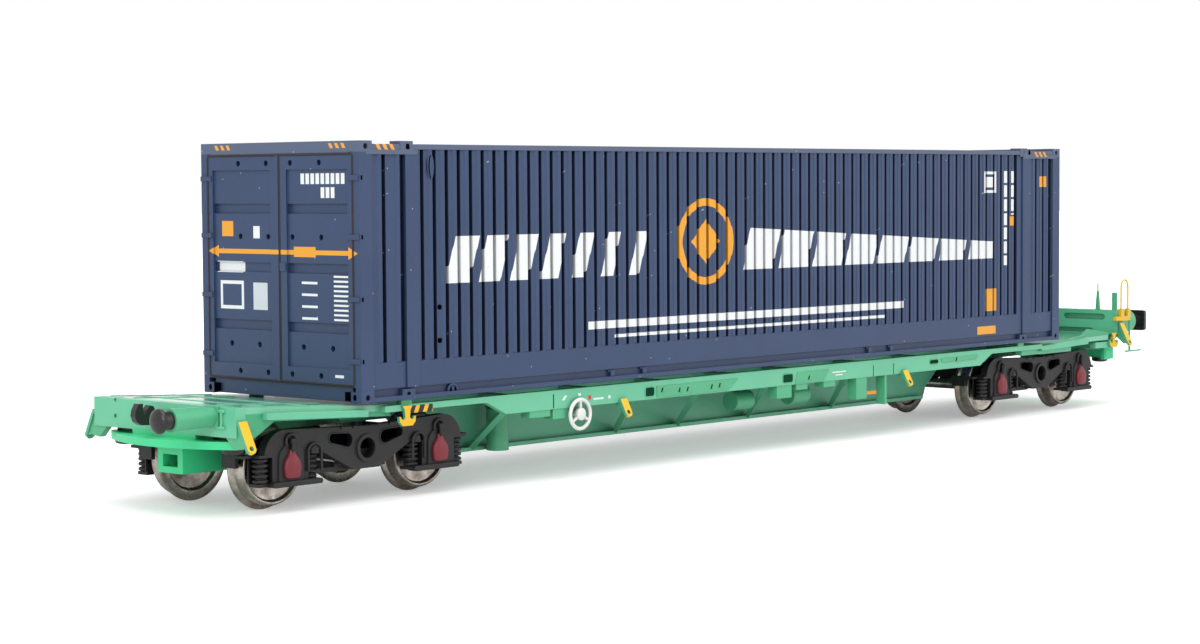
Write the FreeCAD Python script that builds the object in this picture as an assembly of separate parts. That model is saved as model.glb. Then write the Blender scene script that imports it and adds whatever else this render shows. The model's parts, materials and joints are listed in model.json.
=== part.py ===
"""Model railway bogie container flat with a long container, at the model's own size.

Units are millimetres.  +Z is up, +X runs towards the outer (tall) end of the
wagon, and the near side is -Y.  The origin is the centre of the bounding box
in plan, at the level of the wheel flanges' lowest points.
"""
import FreeCAD, Part
import math
import os

os.makedirs("parts", exist_ok=True)

# ---------------------------------------------------------------- overall sizes
length_over_buffers = 248.8
pivot_spacing = 175.0
pivot_mid_x = -2.2            # middle between the bogie pivots
container_mid_x = -3.6
running_gap = 0.3             # air between faces of bodies that move past each other

# ---------------------------------------------------------------- wheels and axles
wheelbase = 28.0
tread_radius = 5.4
flange_radius = 6.05
flange_thickness = 0.75
wheel_width = 2.8
back_to_back = 14.5
rim_thickness = 0.9
dish_depth = 0.9
axle_radius = 0.9
journal_radius = 0.5
journal_clearance = 0.06
journal_end_y = 12.9          # half length of the axle over its journals

# ---------------------------------------------------------------- bogie frame
frame_inner_y = 12.2
frame_thickness = 1.4
frame_top_z = 11.45           # top of the humps over the axles
frame_dip_z = 10.85           # top edge at mid length
cover_projection = 0.8
bolster_half_length = 3.2
bolster_bottom_z = 6.3
bolster_top_z = 9.6
pivot_radius = 1.5
pivot_clearance = 0.08
swing_clearance = 0.35        # between bolster and spine
spring_offset = 4.35          # springs stand this far each side of an axle
spring_y = 12.35
spring_radius = 1.1
spring_wire = 0.52
spring_turns = 5
spring_seat_z = 4.25
spring_top_z = 7.8
pad_half_length = 5.2         # spring pad under each axlebox
pad_thickness = 0.45
shoulder_inner_y = 11.0       # overhang above the outer springs
leg_half_width = 3.2          # frame leg around each axlebox
vee_half_width = 2.4          # flat foot of the frame's middle V
vee_bottom_z = 4.9
window_z = 7.75               # centre of the round hole at mid length
window_radius = 1.45
strap_radius = 2.2            # raised arch around each axlebox
strap_top_z = 9.5
inner_brake_x = 4.3
shoe_clearance = 0.4          # between wheel flange and brake shoe

# ---------------------------------------------------------------- wagon body
body_half_width = 15.4
sill_thickness = 1.1
sill_top_z = 13.65
sill_depth = 2.85
sill_strip_depth = 0.9        # shallow part over the bogies
deep_sill_from_pivot = 25.2   # where the deep part starts, measured from a pivot
sill_ramp = 4.0
spine_half_width = 3.4
spine_flange_half_width = 4.6
spine_flange_thickness = 0.6
spine_bottom_z = 4.2
spine_neck_z = 10.3           # underside of the spine over the bogies
spine_kink_from_pivot = 26.2  # start of the upsweep, measured from a pivot
spine_ramp = 7.7
deck_thickness = 0.9
inner_deck_z = 15.1           # deck top at the inner headstock
outer_deck_z = 14.2           # deck top at the outer headstock
deck_overlap = 3.0            # decks reach this far past the pivots
side_plate_thickness = 0.8
cross_member_bottom_z = 11.8
bolster_pad_bottom_z = 11.6   # wide cross beams over the bogies

# ---------------------------------------------------------------- headstocks
headstock_thickness = 1.6
inner_headstock_bottom_z = 11.05
outer_headstock_bottom_z = 14.0
outer_apron_bottom_z = 11.3   # narrower part under the tall headstock
outer_apron_thickness = 1.8
outer_headstock_top_z = 18.85
outer_headstock_thickness = 2.4
inner_buffer_length = 9.8
outer_buffer_length = 11.6
inner_buffer_y = 10.6
outer_buffer_y = 11.3
inner_buffer_z = 13.75
outer_buffer_z = 16.2
inner_buffer_radius = 1.7
inner_casing_length = 7.3
outer_casing_length = 8.2
valance_half_width = 13.6
valance_block_half_width = 6.8
buffer_hole_radius = 0.3
buffer_hole_pitch = 2.2

# ---------------------------------------------------------------- container
container_length = 180.0
container_width = 34.0
container_height = 36.3
container_base_z = 14.3
casting_length = 2.4
casting_width = 2.2
casting_height = 1.55
bottom_rail_height = 1.8
top_rail_height = 1.2
top_rail_drop = 0.45          # top rails and roof lie below the castings' tops
wall_thickness = 0.8
wall_inset = 0.55             # corrugated walls sit inside the posts' faces
near_post_from_end = 9.0      # inner lifting posts, door end
far_post_from_end = 12.5      # inner lifting posts, blind end
post_lead = 0.95              # each post stands this far past its castings
post_width = 2.4

# ---------------------------------------------------------------- derived places
inner_end_x = -length_over_buffers / 2
outer_end_x = length_over_buffers / 2
inner_face_x = inner_end_x + inner_buffer_length
outer_face_x = outer_end_x - outer_buffer_length
pivot_a_x = pivot_mid_x - pivot_spacing / 2
pivot_b_x = pivot_mid_x + pivot_spacing / 2
frame_outer_y = frame_inner_y + frame_thickness
sill_outer_y = body_half_width + sill_thickness
sill_bottom_z = sill_top_z - sill_depth
deck_low_z = sill_top_z       # deck top beside the pivots
spine_top_z = deck_low_z - deck_thickness
container_top_z = container_base_z + container_height
door_end_x = container_mid_x - container_length / 2
blind_end_x = container_mid_x + container_length / 2
container_half_width = container_width / 2
near_post_x = door_end_x + near_post_from_end
far_post_x = blind_end_x - far_post_from_end


# ---------------------------------------------------------------- helpers
def vec(x, y, z):
    """A point or direction."""
    return FreeCAD.Vector(x, y, z)


def box(x, y, z):
    """A box between the two values of each of x, y and z."""
    size = [abs(b - a) for a, b in (x, y, z)]
    return Part.makeBox(*size, vec(min(x), min(y), min(z)))


def rod(start, end, radius, end_radius=None):
    """A round bar, or a cone if end_radius is given, from start to end."""
    start, end = vec(*start), vec(*end)
    along = end - start
    if end_radius is None:
        return Part.makeCylinder(radius, along.Length, start, along)
    return Part.makeCone(radius, end_radius, along.Length, start, along)


def prism(points, plane, low, high):
    """A polygon drawn in plane 'xz', 'yz' or 'xy', extruded from low to high."""
    places = {"xz": lambda a, b: vec(a, low, b),
              "yz": lambda a, b: vec(low, a, b),
              "xy": lambda a, b: vec(a, b, low)}[plane]
    travel = {"xz": vec(0, high - low, 0),
              "yz": vec(high - low, 0, 0),
              "xy": vec(0, 0, high - low)}[plane]
    wire = Part.makePolygon([places(a, b) for a, b in points + points[:1]])
    return Part.Face(wire).extrude(travel)


def mirrored(shape):
    """The same piece on the other side of the wagon."""
    return shape.mirror(vec(0, 0, 0), vec(0, 1, 0))


def both_sides(shapes):
    """Each piece and its mirror image."""
    return [s for piece in shapes for s in (piece, mirrored(piece))]


def fused(shapes):
    """One solid out of pieces that meet."""
    solid = shapes[0]
    if len(shapes) > 1:
        solid = shapes[0].multiFuse(shapes[1:])
    return solid.removeSplitter()


def save(name, shapes):
    """Write one node; several solids in it stay apart."""
    solids = [s for shape in shapes for s in shape.Solids]
    whole = solids[0] if len(solids) == 1 else Part.makeCompound(solids)
    whole.exportStep(f"parts/{name}.step")


# ---------------------------------------------------------------- wheelsets
def wheel(side):
    """One wheel about the Y axis, its flange towards the middle of the track."""
    inner = back_to_back / 2
    outer = inner + wheel_width
    fillet_start = inner + flange_thickness
    dish = tread_radius - rim_thickness
    profile = [(axle_radius, inner), (flange_radius - 0.15, inner), (flange_radius, inner + 0.25),
               (flange_radius - 0.1, fillet_start - 0.1), (tread_radius + 0.06, fillet_start + 0.25),
               (tread_radius - 0.04, outer), (dish, outer), (dish - 0.2, outer - dish_depth),
               (axle_radius + 0.75, outer - dish_depth), (axle_radius + 0.6, outer - 0.15),
               (axle_radius, outer - 0.15)]
    wire = Part.makePolygon([vec(r, y, 0) for r, y in profile + profile[:1]])
    solid = Part.Face(wire).revolve(vec(0, 0, 0), vec(0, 1, 0), 360)
    return solid if side > 0 else mirrored(solid)


def axle():
    """The axle with its thinner journals, about the Y axis."""
    body_half = frame_inner_y - running_gap
    body = rod((0, -body_half, 0), (0, body_half, 0), axle_radius)
    journals = rod((0, -journal_end_y, 0), (0, journal_end_y, 0), journal_radius)
    return fused([body, journals])


def wheelset(name, x):
    """Two wheels pressed on one axle, standing on their flanges at x."""
    place = vec(x, 0, flange_radius)
    save(f"{name}_wheels", [wheel(side).translated(place) for side in (1, -1)])
    save(f"{name}_axle", [axle().translated(place)])


# ---------------------------------------------------------------- bogies
def frame_outline():
    """Outline of a side frame in its own XZ plane, x measured from the pivot."""
    a = wheelbase / 2
    foot = (vee_half_width, vee_bottom_z)
    vee_top = (a - 5.9, spring_top_z)
    inner_leg, outer_leg = a - leg_half_width, a + leg_half_width
    tip = (a + 4.6, spring_top_z)
    crest = (a + 1.2, frame_top_z)
    right = [("line", foot, vee_top),
             ("line", vee_top, (inner_leg, spring_top_z)),
             ("line", (inner_leg, spring_top_z), (inner_leg, spring_seat_z)),
             ("line", (inner_leg, spring_seat_z), (outer_leg, spring_seat_z)),
             ("line", (outer_leg, spring_seat_z), (outer_leg, spring_top_z)),
             ("line", (outer_leg, spring_top_z), tip),
             ("arc", tip, (a + 3.5, 10.4), crest),
             ("arc", crest, (a - 5.0, frame_dip_z + 0.33), (0, frame_dip_z))]
    mirror = [(kind,) + tuple((-x, z) for x, z in reversed(points)) for kind, *points in reversed(right)]
    return right + mirror + [("line", (-vee_half_width, vee_bottom_z), foot)]


def edge_of(kind, points, y):
    """One edge of an outline at depth y."""
    corners = [vec(x, y, z) for x, z in points]
    if kind == "line":
        return Part.makeLine(*corners)
    return Part.Arc(*corners).toShape()


def teardrop(x_small, x_large, z_small, z_large, r_small, r_large, y0, y1):
    """A window with one small and one large rounded end."""
    ends = [rod((x_small, y0, z_small), (x_small, y1, z_small), r_small),
            rod((x_large, y0, z_large), (x_large, y1, z_large), r_large)]
    run = math.hypot(x_large - x_small, z_large - z_small)
    lean = math.asin((r_large - r_small) / run)
    slope = math.atan2(z_large - z_small, x_large - x_small)
    points = []
    for sign in (1, -1):
        angle = slope + sign * (math.pi / 2 + lean)
        for x, z, r in ((x_small, z_small, r_small), (x_large, z_large, r_large)):
            points.append((x + r * math.cos(angle), z + r * math.sin(angle)))
    middle = prism([points[0], points[1], points[3], points[2]], "xz", y0, y1)
    return ends[0].fuse([ends[1], middle])


def side_frame():
    """One cast side frame on the +Y side, x measured from the pivot."""
    y0, y1 = frame_inner_y, frame_outer_y
    edges = [edge_of(kind, points, y0) for kind, *points in frame_outline()]
    plate = Part.Face(Part.Wire(Part.__sortEdges__(edges))).extrude(vec(0, y1 - y0, 0))
    hole = rod((0, y0 - 1, window_z), (0, y1 + 1, window_z), window_radius)
    rim = rod((0, y1, window_z), (0, y1 + 0.3, window_z), window_radius + 0.5).cut(hole)
    cuts = [hole]
    added = [rim]
    spread = spring_offset + spring_radius
    for s in (1, -1):
        a = s * wheelbase / 2
        cuts.append(teardrop(s * 6.3, s * 3.6, 9.55, 9.1, 0.75, 1.05, y0 - 1, y1 + 1))
        cuts.append(rod((a, y0 - 1, flange_radius), (a, journal_end_y + 0.12, flange_radius),
                        journal_radius + journal_clearance))
        added.append(box((a - pad_half_length, a + pad_half_length), (shoulder_inner_y, y1 - 0.45),
                         (spring_seat_z - pad_thickness, spring_seat_z)))
        outer = (a + s * leg_half_width, a + s * spread)
        added.append(box(outer, (shoulder_inner_y, y1), (spring_top_z, spring_top_z + 0.4)))
        added.append(box(outer, (shoulder_inner_y, shoulder_inner_y + 0.2), (spring_seat_z, spring_top_z)))
        cap_x = a - s * spring_offset
        cap_y = y1 - 0.35
        added.append(rod((cap_x, cap_y, spring_top_z), (cap_x, cap_y, spring_top_z + 0.8), 0.85))
        added.append(rod((cap_x, cap_y, spring_top_z + 0.8), (cap_x, cap_y, spring_top_z + 1.5), 0.85, 0.4))
        strap_z = strap_top_z - strap_radius
        added.append(box((a - strap_radius, a + strap_radius), (y1, y1 + 0.25), (spring_seat_z, strap_z)))
        arch = rod((a, y1, strap_z), (a, y1 + 0.25, strap_z), strap_radius)
        added.append(arch.common(box((a - strap_radius, a + strap_radius), (y1, y1 + 0.25),
                                     (strap_z, strap_top_z))))
    return fused([plate.cut(cuts)] + added)


def axlebox_cover(x):
    """The bottle-shaped cover on an axlebox, +Y side, in two steps of thickness."""
    y0 = frame_outer_y + 0.25
    half = [(1.15, 4.75), (1.25, 5.5), (1.25, 6.5), (0.95, 7.4), (0.55, 8.0), (0.4, 8.4), (0.35, 8.9)]
    layers = []
    for inset, y1 in ((0.0, y0 + cover_projection * 0.7), (0.22, y0 + cover_projection)):
        right = [(max(dx - inset, 0.12), z) for dx, z in half]
        right[0] = (right[0][0], right[0][1] + inset)
        right[-1] = (right[-1][0], right[-1][1] - inset)
        outline = right + [(-dx, z) for dx, z in reversed(right)]
        layers.append(prism([(x + dx, z) for dx, z in outline], "xz", y0, y1))
    return fused(layers)


def spring(x, bottom_z, top_z):
    """A coil spring beside an axlebox, its turns on a solid core, +Y side."""
    pitch = (top_z - bottom_z) / spring_turns
    wire = spring_wire / 2
    core = rod((x, spring_y, bottom_z), (x, spring_y, top_z), spring_radius - spring_wire + 0.1)
    coils = [Part.makeTorus(spring_radius - wire, wire, vec(x, spring_y, bottom_z + (i + 0.5) * pitch),
                            vec(0, 0, 1)) for i in range(spring_turns)]
    return fused([core] + coils)


def bogie(letter, pivot_x):
    """Everything on one bogie but its wheelsets."""
    place = vec(pivot_x, 0, 0)

    def put(name, shapes):
        save(f"bogie_{letter}_{name}", [s.translated(place) for s in shapes])

    frame = side_frame()
    springs = [spring(s * wheelbase / 2 + t * spring_offset, spring_seat_z, spring_top_z)
               for s in (1, -1) for t in (1, -1)]
    put("side_frames", both_sides([frame]))
    put("springs", both_sides(springs))
    covers = [axlebox_cover(s * wheelbase / 2) for s in (1, -1)]
    put("axlebox_covers", both_sides(covers))

    beam = box((-bolster_half_length, bolster_half_length), (-frame_inner_y, frame_inner_y),
               (bolster_bottom_z, bolster_top_z))
    boss = rod((0, 0, bolster_bottom_z), (0, 0, spine_neck_z - swing_clearance), 2.6)
    bore = rod((0, 0, 0), (0, 0, 20), pivot_radius + pivot_clearance)
    put("bolster", [fused([beam, boss]).cut(bore)])

    brakes = []
    for s in (1, -1):
        beam_x = (s * inner_brake_x - 0.5, s * inner_brake_x + 0.5)
        beam = box(beam_x, (-frame_inner_y, frame_inner_y), (4.9, 5.9))
        pull = box((s * 2.2, s * 8.5), (s * 11.4, s * frame_inner_y), (4.7, 5.4))
        brakes.append(fused([beam, pull]))
        shoe_x = s * (wheelbase / 2 + flange_radius + shoe_clearance)
        shoe_back = shoe_x + s * 0.65
        shoe = box((shoe_x, shoe_back), (7.6, 10.4), (6.4, 8.3))
        link_x = s * (wheelbase / 2 + spring_offset + spring_radius)
        link = box((link_x, shoe_back), (10.4, frame_inner_y), (spring_top_z, spring_top_z + 0.4))
        brakes += both_sides([fused([shoe, link])])
    put("brake_beams", brakes)


# ---------------------------------------------------------------- wagon frame
def spine():
    """Deep centre girder, shallow over the bogies, with flanges and pivot pins."""
    xa = inner_face_x + headstock_thickness
    xb = outer_face_x - outer_headstock_thickness
    kink_a = pivot_a_x + spine_kink_from_pivot
    kink_b = pivot_b_x - spine_kink_from_pivot
    low = [(xa, spine_neck_z), (kink_a - spine_ramp, spine_neck_z), (kink_a, spine_bottom_z),
           (kink_b, spine_bottom_z), (kink_b + spine_ramp, spine_neck_z), (xb, spine_neck_z)]
    web = prism(low + [(xb, spine_top_z), (xa, spine_top_z)], "xz", -spine_half_width, spine_half_width)
    flange = box((kink_a, kink_b), (-spine_flange_half_width, spine_flange_half_width),
                 (spine_bottom_z, spine_bottom_z + spine_flange_thickness))
    pins = [rod((x, 0, bolster_bottom_z - 0.6), (x, 0, spine_neck_z), pivot_radius)
            for x in (pivot_a_x, pivot_b_x)]
    return fused([web, flange] + pins)


def side_sill():
    """One side sill on the +Y side: deep in the middle, a strip over the bogies."""
    deep_a = pivot_a_x + deep_sill_from_pivot
    deep_b = pivot_b_x - deep_sill_from_pivot
    strip_z = sill_top_z - sill_strip_depth
    end_a = pivot_a_x + 1.0
    end_b = pivot_b_x - 4.0
    outline = [(end_a, strip_z), (deep_a - sill_ramp, strip_z), (deep_a, sill_bottom_z),
               (deep_b, sill_bottom_z), (deep_b + sill_ramp, strip_z), (end_b, strip_z),
               (end_b, sill_top_z), (end_a, sill_top_z)]
    return prism(outline, "xz", body_half_width, sill_outer_y)


def end_deck(face_x, face_z, pivot_x, direction):
    """Sloping end platform from a headstock's back face to just past the pivot."""
    stop = pivot_x + direction * deck_overlap
    low = deck_low_z
    t = deck_thickness
    return prism([(face_x, face_z), (stop, low), (stop, low - t), (face_x, face_z - t)],
                 "xz", -body_half_width, body_half_width)


def inner_side_plate(face_x, pivot_x):
    """Gusseted side plate under the inner end deck's edge, +Y side."""
    stop = pivot_x + deck_overlap
    outline = [(face_x, inner_deck_z - deck_thickness), (face_x, inner_headstock_bottom_z),
               (face_x + 1.4, inner_headstock_bottom_z - 0.2), (face_x + 5.0, inner_deck_z - 2.2),
               (stop, spine_top_z - 0.65), (stop, spine_top_z)]
    return prism(outline, "xz", body_half_width - side_plate_thickness, body_half_width)


def outer_side_plate(pivot_x):
    """Side plate of the outer end deck with a horn that carries the rope hook, +Y side."""
    stop = pivot_x - deck_overlap
    outline = [(stop, spine_top_z - 0.65), (pivot_x + 14.8, 13.15), (pivot_x + 22.3, 13.05),
               (pivot_x + 24.6, 14.2), (pivot_x + 15.0, 15.55), (pivot_x + 12.8, 14.4), (stop, spine_top_z)]
    return prism(outline, "xz", body_half_width - side_plate_thickness, body_half_width)


def cross_members():
    """Cross beams between the spine and the sills, and the wide ones over the bogies."""
    pieces = []
    for x in cross_member_x:
        pieces.append(box((x - 1.0, x + 1.0), (spine_half_width, body_half_width),
                          (cross_member_bottom_z, spine_top_z)))
    for x in (pivot_a_x, pivot_b_x):
        pieces.append(box((x - 2.7, x + 2.7), (spine_half_width, 11.0), (bolster_pad_bottom_z, spine_top_z)))
    return both_sides(pieces)


def bar(start, end, width):
    """A square bar whose middle line runs from start to end."""
    start, end = vec(*start), vec(*end)
    along = end - start
    solid = Part.makeBox(width, width, along.Length, vec(-width / 2, -width / 2, 0))
    solid.Placement = FreeCAD.Placement(start, FreeCAD.Rotation(vec(0, 0, 1), along))
    return solid


def outriggers(girder, sill):
    """Slanting struts from the sills' lower edges to the spine's bottom flange."""
    struts = []
    for top_x, foot_x in strut_places:
        strut = bar((top_x, body_half_width + 0.4, sill_bottom_z + 0.6),
                    (foot_x, spine_flange_half_width - 0.6, spine_bottom_z + 0.5), 0.9)
        struts.append(strut.cut([girder, sill]))
    return both_sides(struts)


# ---------------------------------------------------------------- headstocks
def inner_headstock():
    """The low plate headstock, drilled for the buffer that is left off."""
    back = inner_face_x + headstock_thickness
    plate = box((inner_face_x, back), (-body_half_width, body_half_width),
                (inner_headstock_bottom_z, inner_deck_z))
    holes = []
    for s in (1, -1):
        z = inner_buffer_z + s * buffer_hole_pitch / 2
        holes.append(rod((inner_face_x - 1, inner_buffer_y, z), (back + 1, inner_buffer_y, z),
                         buffer_hole_radius))
    return plate.cut(holes)


def outer_headstock():
    """The tall box headstock, its apron and three long recesses in its back."""
    back = outer_face_x - outer_headstock_thickness
    plate = box((back, outer_face_x), (-body_half_width, body_half_width),
                (outer_headstock_bottom_z, outer_headstock_top_z))
    apron = box((back, back + outer_apron_thickness), (-valance_half_width, valance_half_width),
                (outer_apron_bottom_z, outer_headstock_bottom_z))
    slots = []
    for y0, y1, z, r in recess_places:
        ends = [rod((back - 1, y, z), (back + recess_depth, y, z), r) for y in (y0, y1)]
        slots.append(fused(ends + [box((back - 1, back + recess_depth), (y0, y1), (z - r, z + r))]))
    return fused([plate, apron]).cut(slots)


def valance(face_x, direction, low_z, high_z, top_z):
    """A fascia bowed outwards under a headstock, with the block that joins them."""
    end_x = face_x - direction * 1.5
    bow_x = face_x + direction * 2.7
    back_x = end_x - direction * 2.0
    half = valance_half_width
    front = Part.Arc(vec(end_x, -half, low_z), vec(bow_x, 0, low_z), vec(end_x, half, low_z)).toShape()
    rest = Part.makePolygon([vec(end_x, half, low_z), vec(back_x, half, low_z),
                             vec(back_x, -half, low_z), vec(end_x, -half, low_z)])
    plate = Part.Face(Part.Wire([front] + rest.Edges)).extrude(vec(0, 0, high_z - low_z))
    block = box((back_x, face_x), (-valance_block_half_width, valance_block_half_width), (high_z, top_z))
    return fused([plate, block])


def pocket(face_x, direction, top_z):
    """A standard coupling pocket: a square-mouthed socket open to the front."""
    front = face_x - direction * 1.1
    body = box((front, front - direction * 7.9), (-pocket_half_width, pocket_half_width),
               (top_z - pocket_height, top_z))
    mouth_z = top_z - pocket_height + pocket_mouth_rise
    socket = box((front + direction, front - direction * pocket_depth),
                 (-pocket_mouth_width / 2, pocket_mouth_width / 2),
                 (mouth_z - pocket_mouth_height / 2, mouth_z + pocket_mouth_height / 2))
    return body.cut(socket)


# ---------------------------------------------------------------- buffers and draw gear
def inner_casing(y):
    """Tapered green casing of the single inner buffer, with its bolting plate."""
    plate_x = inner_face_x - 0.35
    z = inner_buffer_z
    plate = box((plate_x, inner_face_x), (y - 1.4, y + 1.4), (z - 1.45, z + 1.45))
    return fused([plate, rod((plate_x, y, z), (inner_face_x - inner_casing_length, y, z), 1.35, 1.6)])


def inner_head(y):
    """Shank and domed round head of the inner buffer."""
    z = inner_buffer_z
    dome_radius = 6.0
    shank = rod((inner_face_x - inner_casing_length, y, z), (inner_end_x + 0.9, y, z), 1.35)
    disc = rod((inner_end_x + 1.0, y, z), (inner_end_x + 0.25, y, z), inner_buffer_radius)
    ball = Part.makeSphere(dome_radius, vec(inner_end_x + dome_radius, y, z))
    dome = ball.common(rod((inner_end_x, y, z), (inner_end_x + 0.25, y, z), inner_buffer_radius))
    return fused([shank, disc, dome])


def outer_casing(y):
    """Round casing of an outer buffer on its bolting plate."""
    z = outer_buffer_z
    plate_x = outer_face_x + 0.5
    plate = box((outer_face_x, plate_x), (y - 2.3, y + 2.3), (z - 2.3, z + 2.3))
    return fused([plate, rod((plate_x, y, z), (outer_face_x + outer_casing_length, y, z), 2.3)])


def outer_head(y):
    """Shank and wide rectangular head of an outer buffer."""
    z = outer_buffer_z
    shank = rod((outer_face_x + outer_casing_length, y, z), (outer_end_x - 0.8, y, z), 1.5)
    head = box((outer_end_x - 0.8, outer_end_x), (y - 2.7, y + 2.7), (z - 2.05, z + 2.05))
    head = head.makeFillet(0.5, [e for e in head.Edges if abs(e.tangentAt(e.FirstParameter).x) > 0.9])
    return fused([shank, head])


def draw_hook(face_x, direction, z):
    """Open draw hook in the middle of a headstock, its mouth upwards."""
    shape = [(0, -0.45), (0, 0.45), (1.5, 0.5), (2.0, 1.3), (2.6, 1.45), (3.1, 0.9), (3.4, 0.25),
             (3.75, 0.9), (3.75, 1.75), (4.5, 1.75), (5.0, 0.9), (5.15, 0.1), (4.8, -0.7),
             (4.1, -1.15), (2.7, -1.25), (1.3, -0.9)]
    return prism([(face_x + direction * dx, z + dz) for dx, dz in shape], "xz", -0.5, 0.5)


# ---------------------------------------------------------------- small fittings
def lashing_eye(x, y, z, length):
    """An eye plate leaning outwards and down from (y, z), +Y side."""
    half = 0.75
    plate = box((x - half, x + half), (0, 0.5), (-length + half, 0))
    end = rod((x, 0, -length + half), (x, 0.5, -length + half), half)
    hole = rod((x, -1, -length + half), (x, 2, -length + half), eye_radius)
    solid = fused([plate, end]).cut(hole)
    solid.rotate(vec(0, 0, 0), vec(1, 0, 0), eye_lean)
    return solid.translated(vec(0, y, z))


def eye_gusset(x, y, z, length, web):
    """The web behind an eye plate; web holds its inboard corners in (y, z), +Y side."""
    lean = math.radians(eye_lean)
    tip = (y + math.sin(lean) * length * 0.8, z - math.cos(lean) * length * 0.8)
    return prism([(y, z), tip] + list(web), "yz", x - 0.5, x + 0.5)


def rope_hook(x, y, z):
    """A T-ended hook standing off the wagon's side, +Y side; (y, z) is its upper back edge."""
    outline = [(-0.95, 0), (-0.55, -0.6), (-0.45, -1.65), (-0.7, -1.95), (-1.1, -1.9), (-1.3, -1.5),
               (-1.6, -1.5), (-1.5, -2.3), (-0.95, -2.85), (0.95, -2.85), (1.5, -2.3), (1.6, -1.5),
               (1.3, -1.5), (1.1, -1.9), (0.7, -1.95), (0.45, -1.65), (0.55, -0.6), (0.95, 0)]
    return prism([(x + dx, z + dz) for dx, dz in outline], "xz", y, y + 0.5)


def ledge(x0, x1, z0, z1):
    """A box rail proud of the end deck's side, +Y side, from (x0, z0) to (x1, z1)."""
    outline = [(x0, z0), (x1, z1), (x1, z1 - ledge_height), (x0, z0 - ledge_height)]
    return prism(outline, "xz", body_half_width, body_half_width + ledge_width)


def handbrake(x, y, z):
    """Spoked handbrake wheel facing +Y, with its spindle."""
    hub = rod((x, y - 0.9, z), (x, y + 0.45, z), 0.45)
    rim = Part.makeTorus(handbrake_radius - 0.3, 0.3, vec(x, y + 0.2, z), vec(0, 1, 0))
    spokes = []
    for i in range(3):
        angle = math.radians(90 + 120 * i)
        reach = handbrake_radius - 0.35
        end = (x + reach * math.cos(angle), y + 0.2, z + reach * math.sin(angle))
        spokes.append(bar((x, y + 0.2, z), end, 0.4))
    return fused([hub, rim] + spokes)


def handrail(x, y, z):
    """Inverted U of thin rod on a bracket, +Y side."""
    pitch, rise, radius = 2.6, 6.3, 0.18
    far_x, top_z, yc = x + pitch, z + rise, y + 0.35
    legs = [rod((leg_x, yc, z), (leg_x, yc, top_z), radius) for leg_x in (x, far_x)]
    bend = Part.makeTorus(pitch / 2, radius, vec(x + pitch / 2, yc, top_z), vec(0, 1, 0))
    bend = bend.common(box((x - 1, far_x + 1), (yc - 1, yc + 1), (top_z, top_z + 3)))
    base = box((x - 0.5, far_x + 0.5), (y, y + 0.7), (z - 0.5, z + 1.9))
    notch = box((x + 0.6, far_x - 0.6), (y - 1, y + 2), (z + 0.4, z + 3))
    arm = box((x - 2.4, x - 0.5), (y, y + 0.7), (z - 0.4, z + 0.4))
    return fused(legs + [bend, base.cut(notch), arm])


# ---------------------------------------------------------------- container
def castings():
    """Corner castings and lifting-post castings, bottom and top, each with its holes."""
    bottom, top = [], []
    for x in casting_x:
        for y in (container_half_width, -container_half_width):
            inner_y = y - math.copysign(casting_width, y)
            for group, z0 in ((bottom, container_base_z), (top, container_top_z - casting_height)):
                z1 = z0 + casting_height
                block = box((x - casting_length / 2, x + casting_length / 2), (inner_y, y), (z0, z1))
                side_hole = rod((x, y + math.copysign(1, y), (z0 + z1) / 2),
                                (x, y - math.copysign(0.8, y), (z0 + z1) / 2), casting_hole_radius)
                group.append(block.cut(side_hole))
    return bottom, top


def bottom_rail():
    """Bottom side rail on the +Y side: an outward channel with a proud lower lip."""
    y = container_half_width
    z = container_base_z
    profile = [(y, z + 0.05), (y, z + 0.7), (y - 0.7, z + 0.7), (y - 0.7, z + bottom_rail_height),
               (y - casting_width, z + bottom_rail_height), (y - casting_width, z + 0.05)]
    return prism(profile, "yz", door_end_x + casting_length, blind_end_x - casting_length)


def door(side):
    """One end door with its sunk panels, swages and the holes of the missing locking bars."""
    x = door_end_x
    low, high = container_base_z + door_sill_height, container_top_z - header_height
    inner, outer = door_gap / 2, container_half_width - corner_post_width
    slab = box((x, x + door_thickness), (side * inner, side * outer), (low, high))
    cuts = []
    y0, y1 = side * (inner + 1.4), side * (outer - 1.3)
    cuts.append(box((x - 1, x + 0.3), (y0, y1), (low + 2.4, high - 2.3)))
    for z in swage_z:
        cuts.append(box((x, x + 0.7), (y0, y1), (container_base_z + z, container_base_z + z + 1.4)))
    for rise, near_y, far_y in bar_holes:
        z = container_base_z + rise
        for y in (near_y, far_y):
            cuts.append(rod((x - 1, side * y, z), (x + 3, side * y, z), bar_hole_radius))
    hinges = [box((x - 0.25, x), (side * (outer - 1.2), side * (container_half_width - 0.1)),
                  (container_base_z + z - 0.35, container_base_z + z + 0.35)) for z in hinge_z]
    return fused([slab.cut(cuts)] + hinges)


# ---------------------------------------------------------------- tables of places
cross_member_x = [pivot_mid_x + dx for dx in (-54, -36, -18, 0, 15.4, 36, 54)]
casting_x = [door_end_x + casting_length / 2, near_post_x, far_post_x, blind_end_x - casting_length / 2]
strut_places = [(pivot_mid_x + top, pivot_mid_x + foot)          # x at the sill, x at the spine
                for top, foot in ((-62.0, -57.4), (-33.4, -24.3), (-17.6, -8.9), (0.2, 9.6), (22.2, 33.4))]
header_height = 1.6
end_beam_depth = 1.2
door_sill_height = 2.2
corner_post_width = 1.2
wall_inner_y = container_half_width - wall_inset - wall_thickness
door_gap = 0.6
door_thickness = 1.0
swage_z = (9.5, 17.8, 26.2)                                      # above the container's base
bar_holes = ((33.35, 2.6, 8.7), (22.9, 2.6, 8.7), (7.4, 4.75, 10.9), (3.5, 2.6, 8.7))  # z, y, y
bar_hole_radius = 0.42
casting_hole_radius = 0.4
hinge_z = (31.2, 23.0, 14.4, 5.8)
eye_radius = 0.35
eye_lean = 27.0
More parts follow.
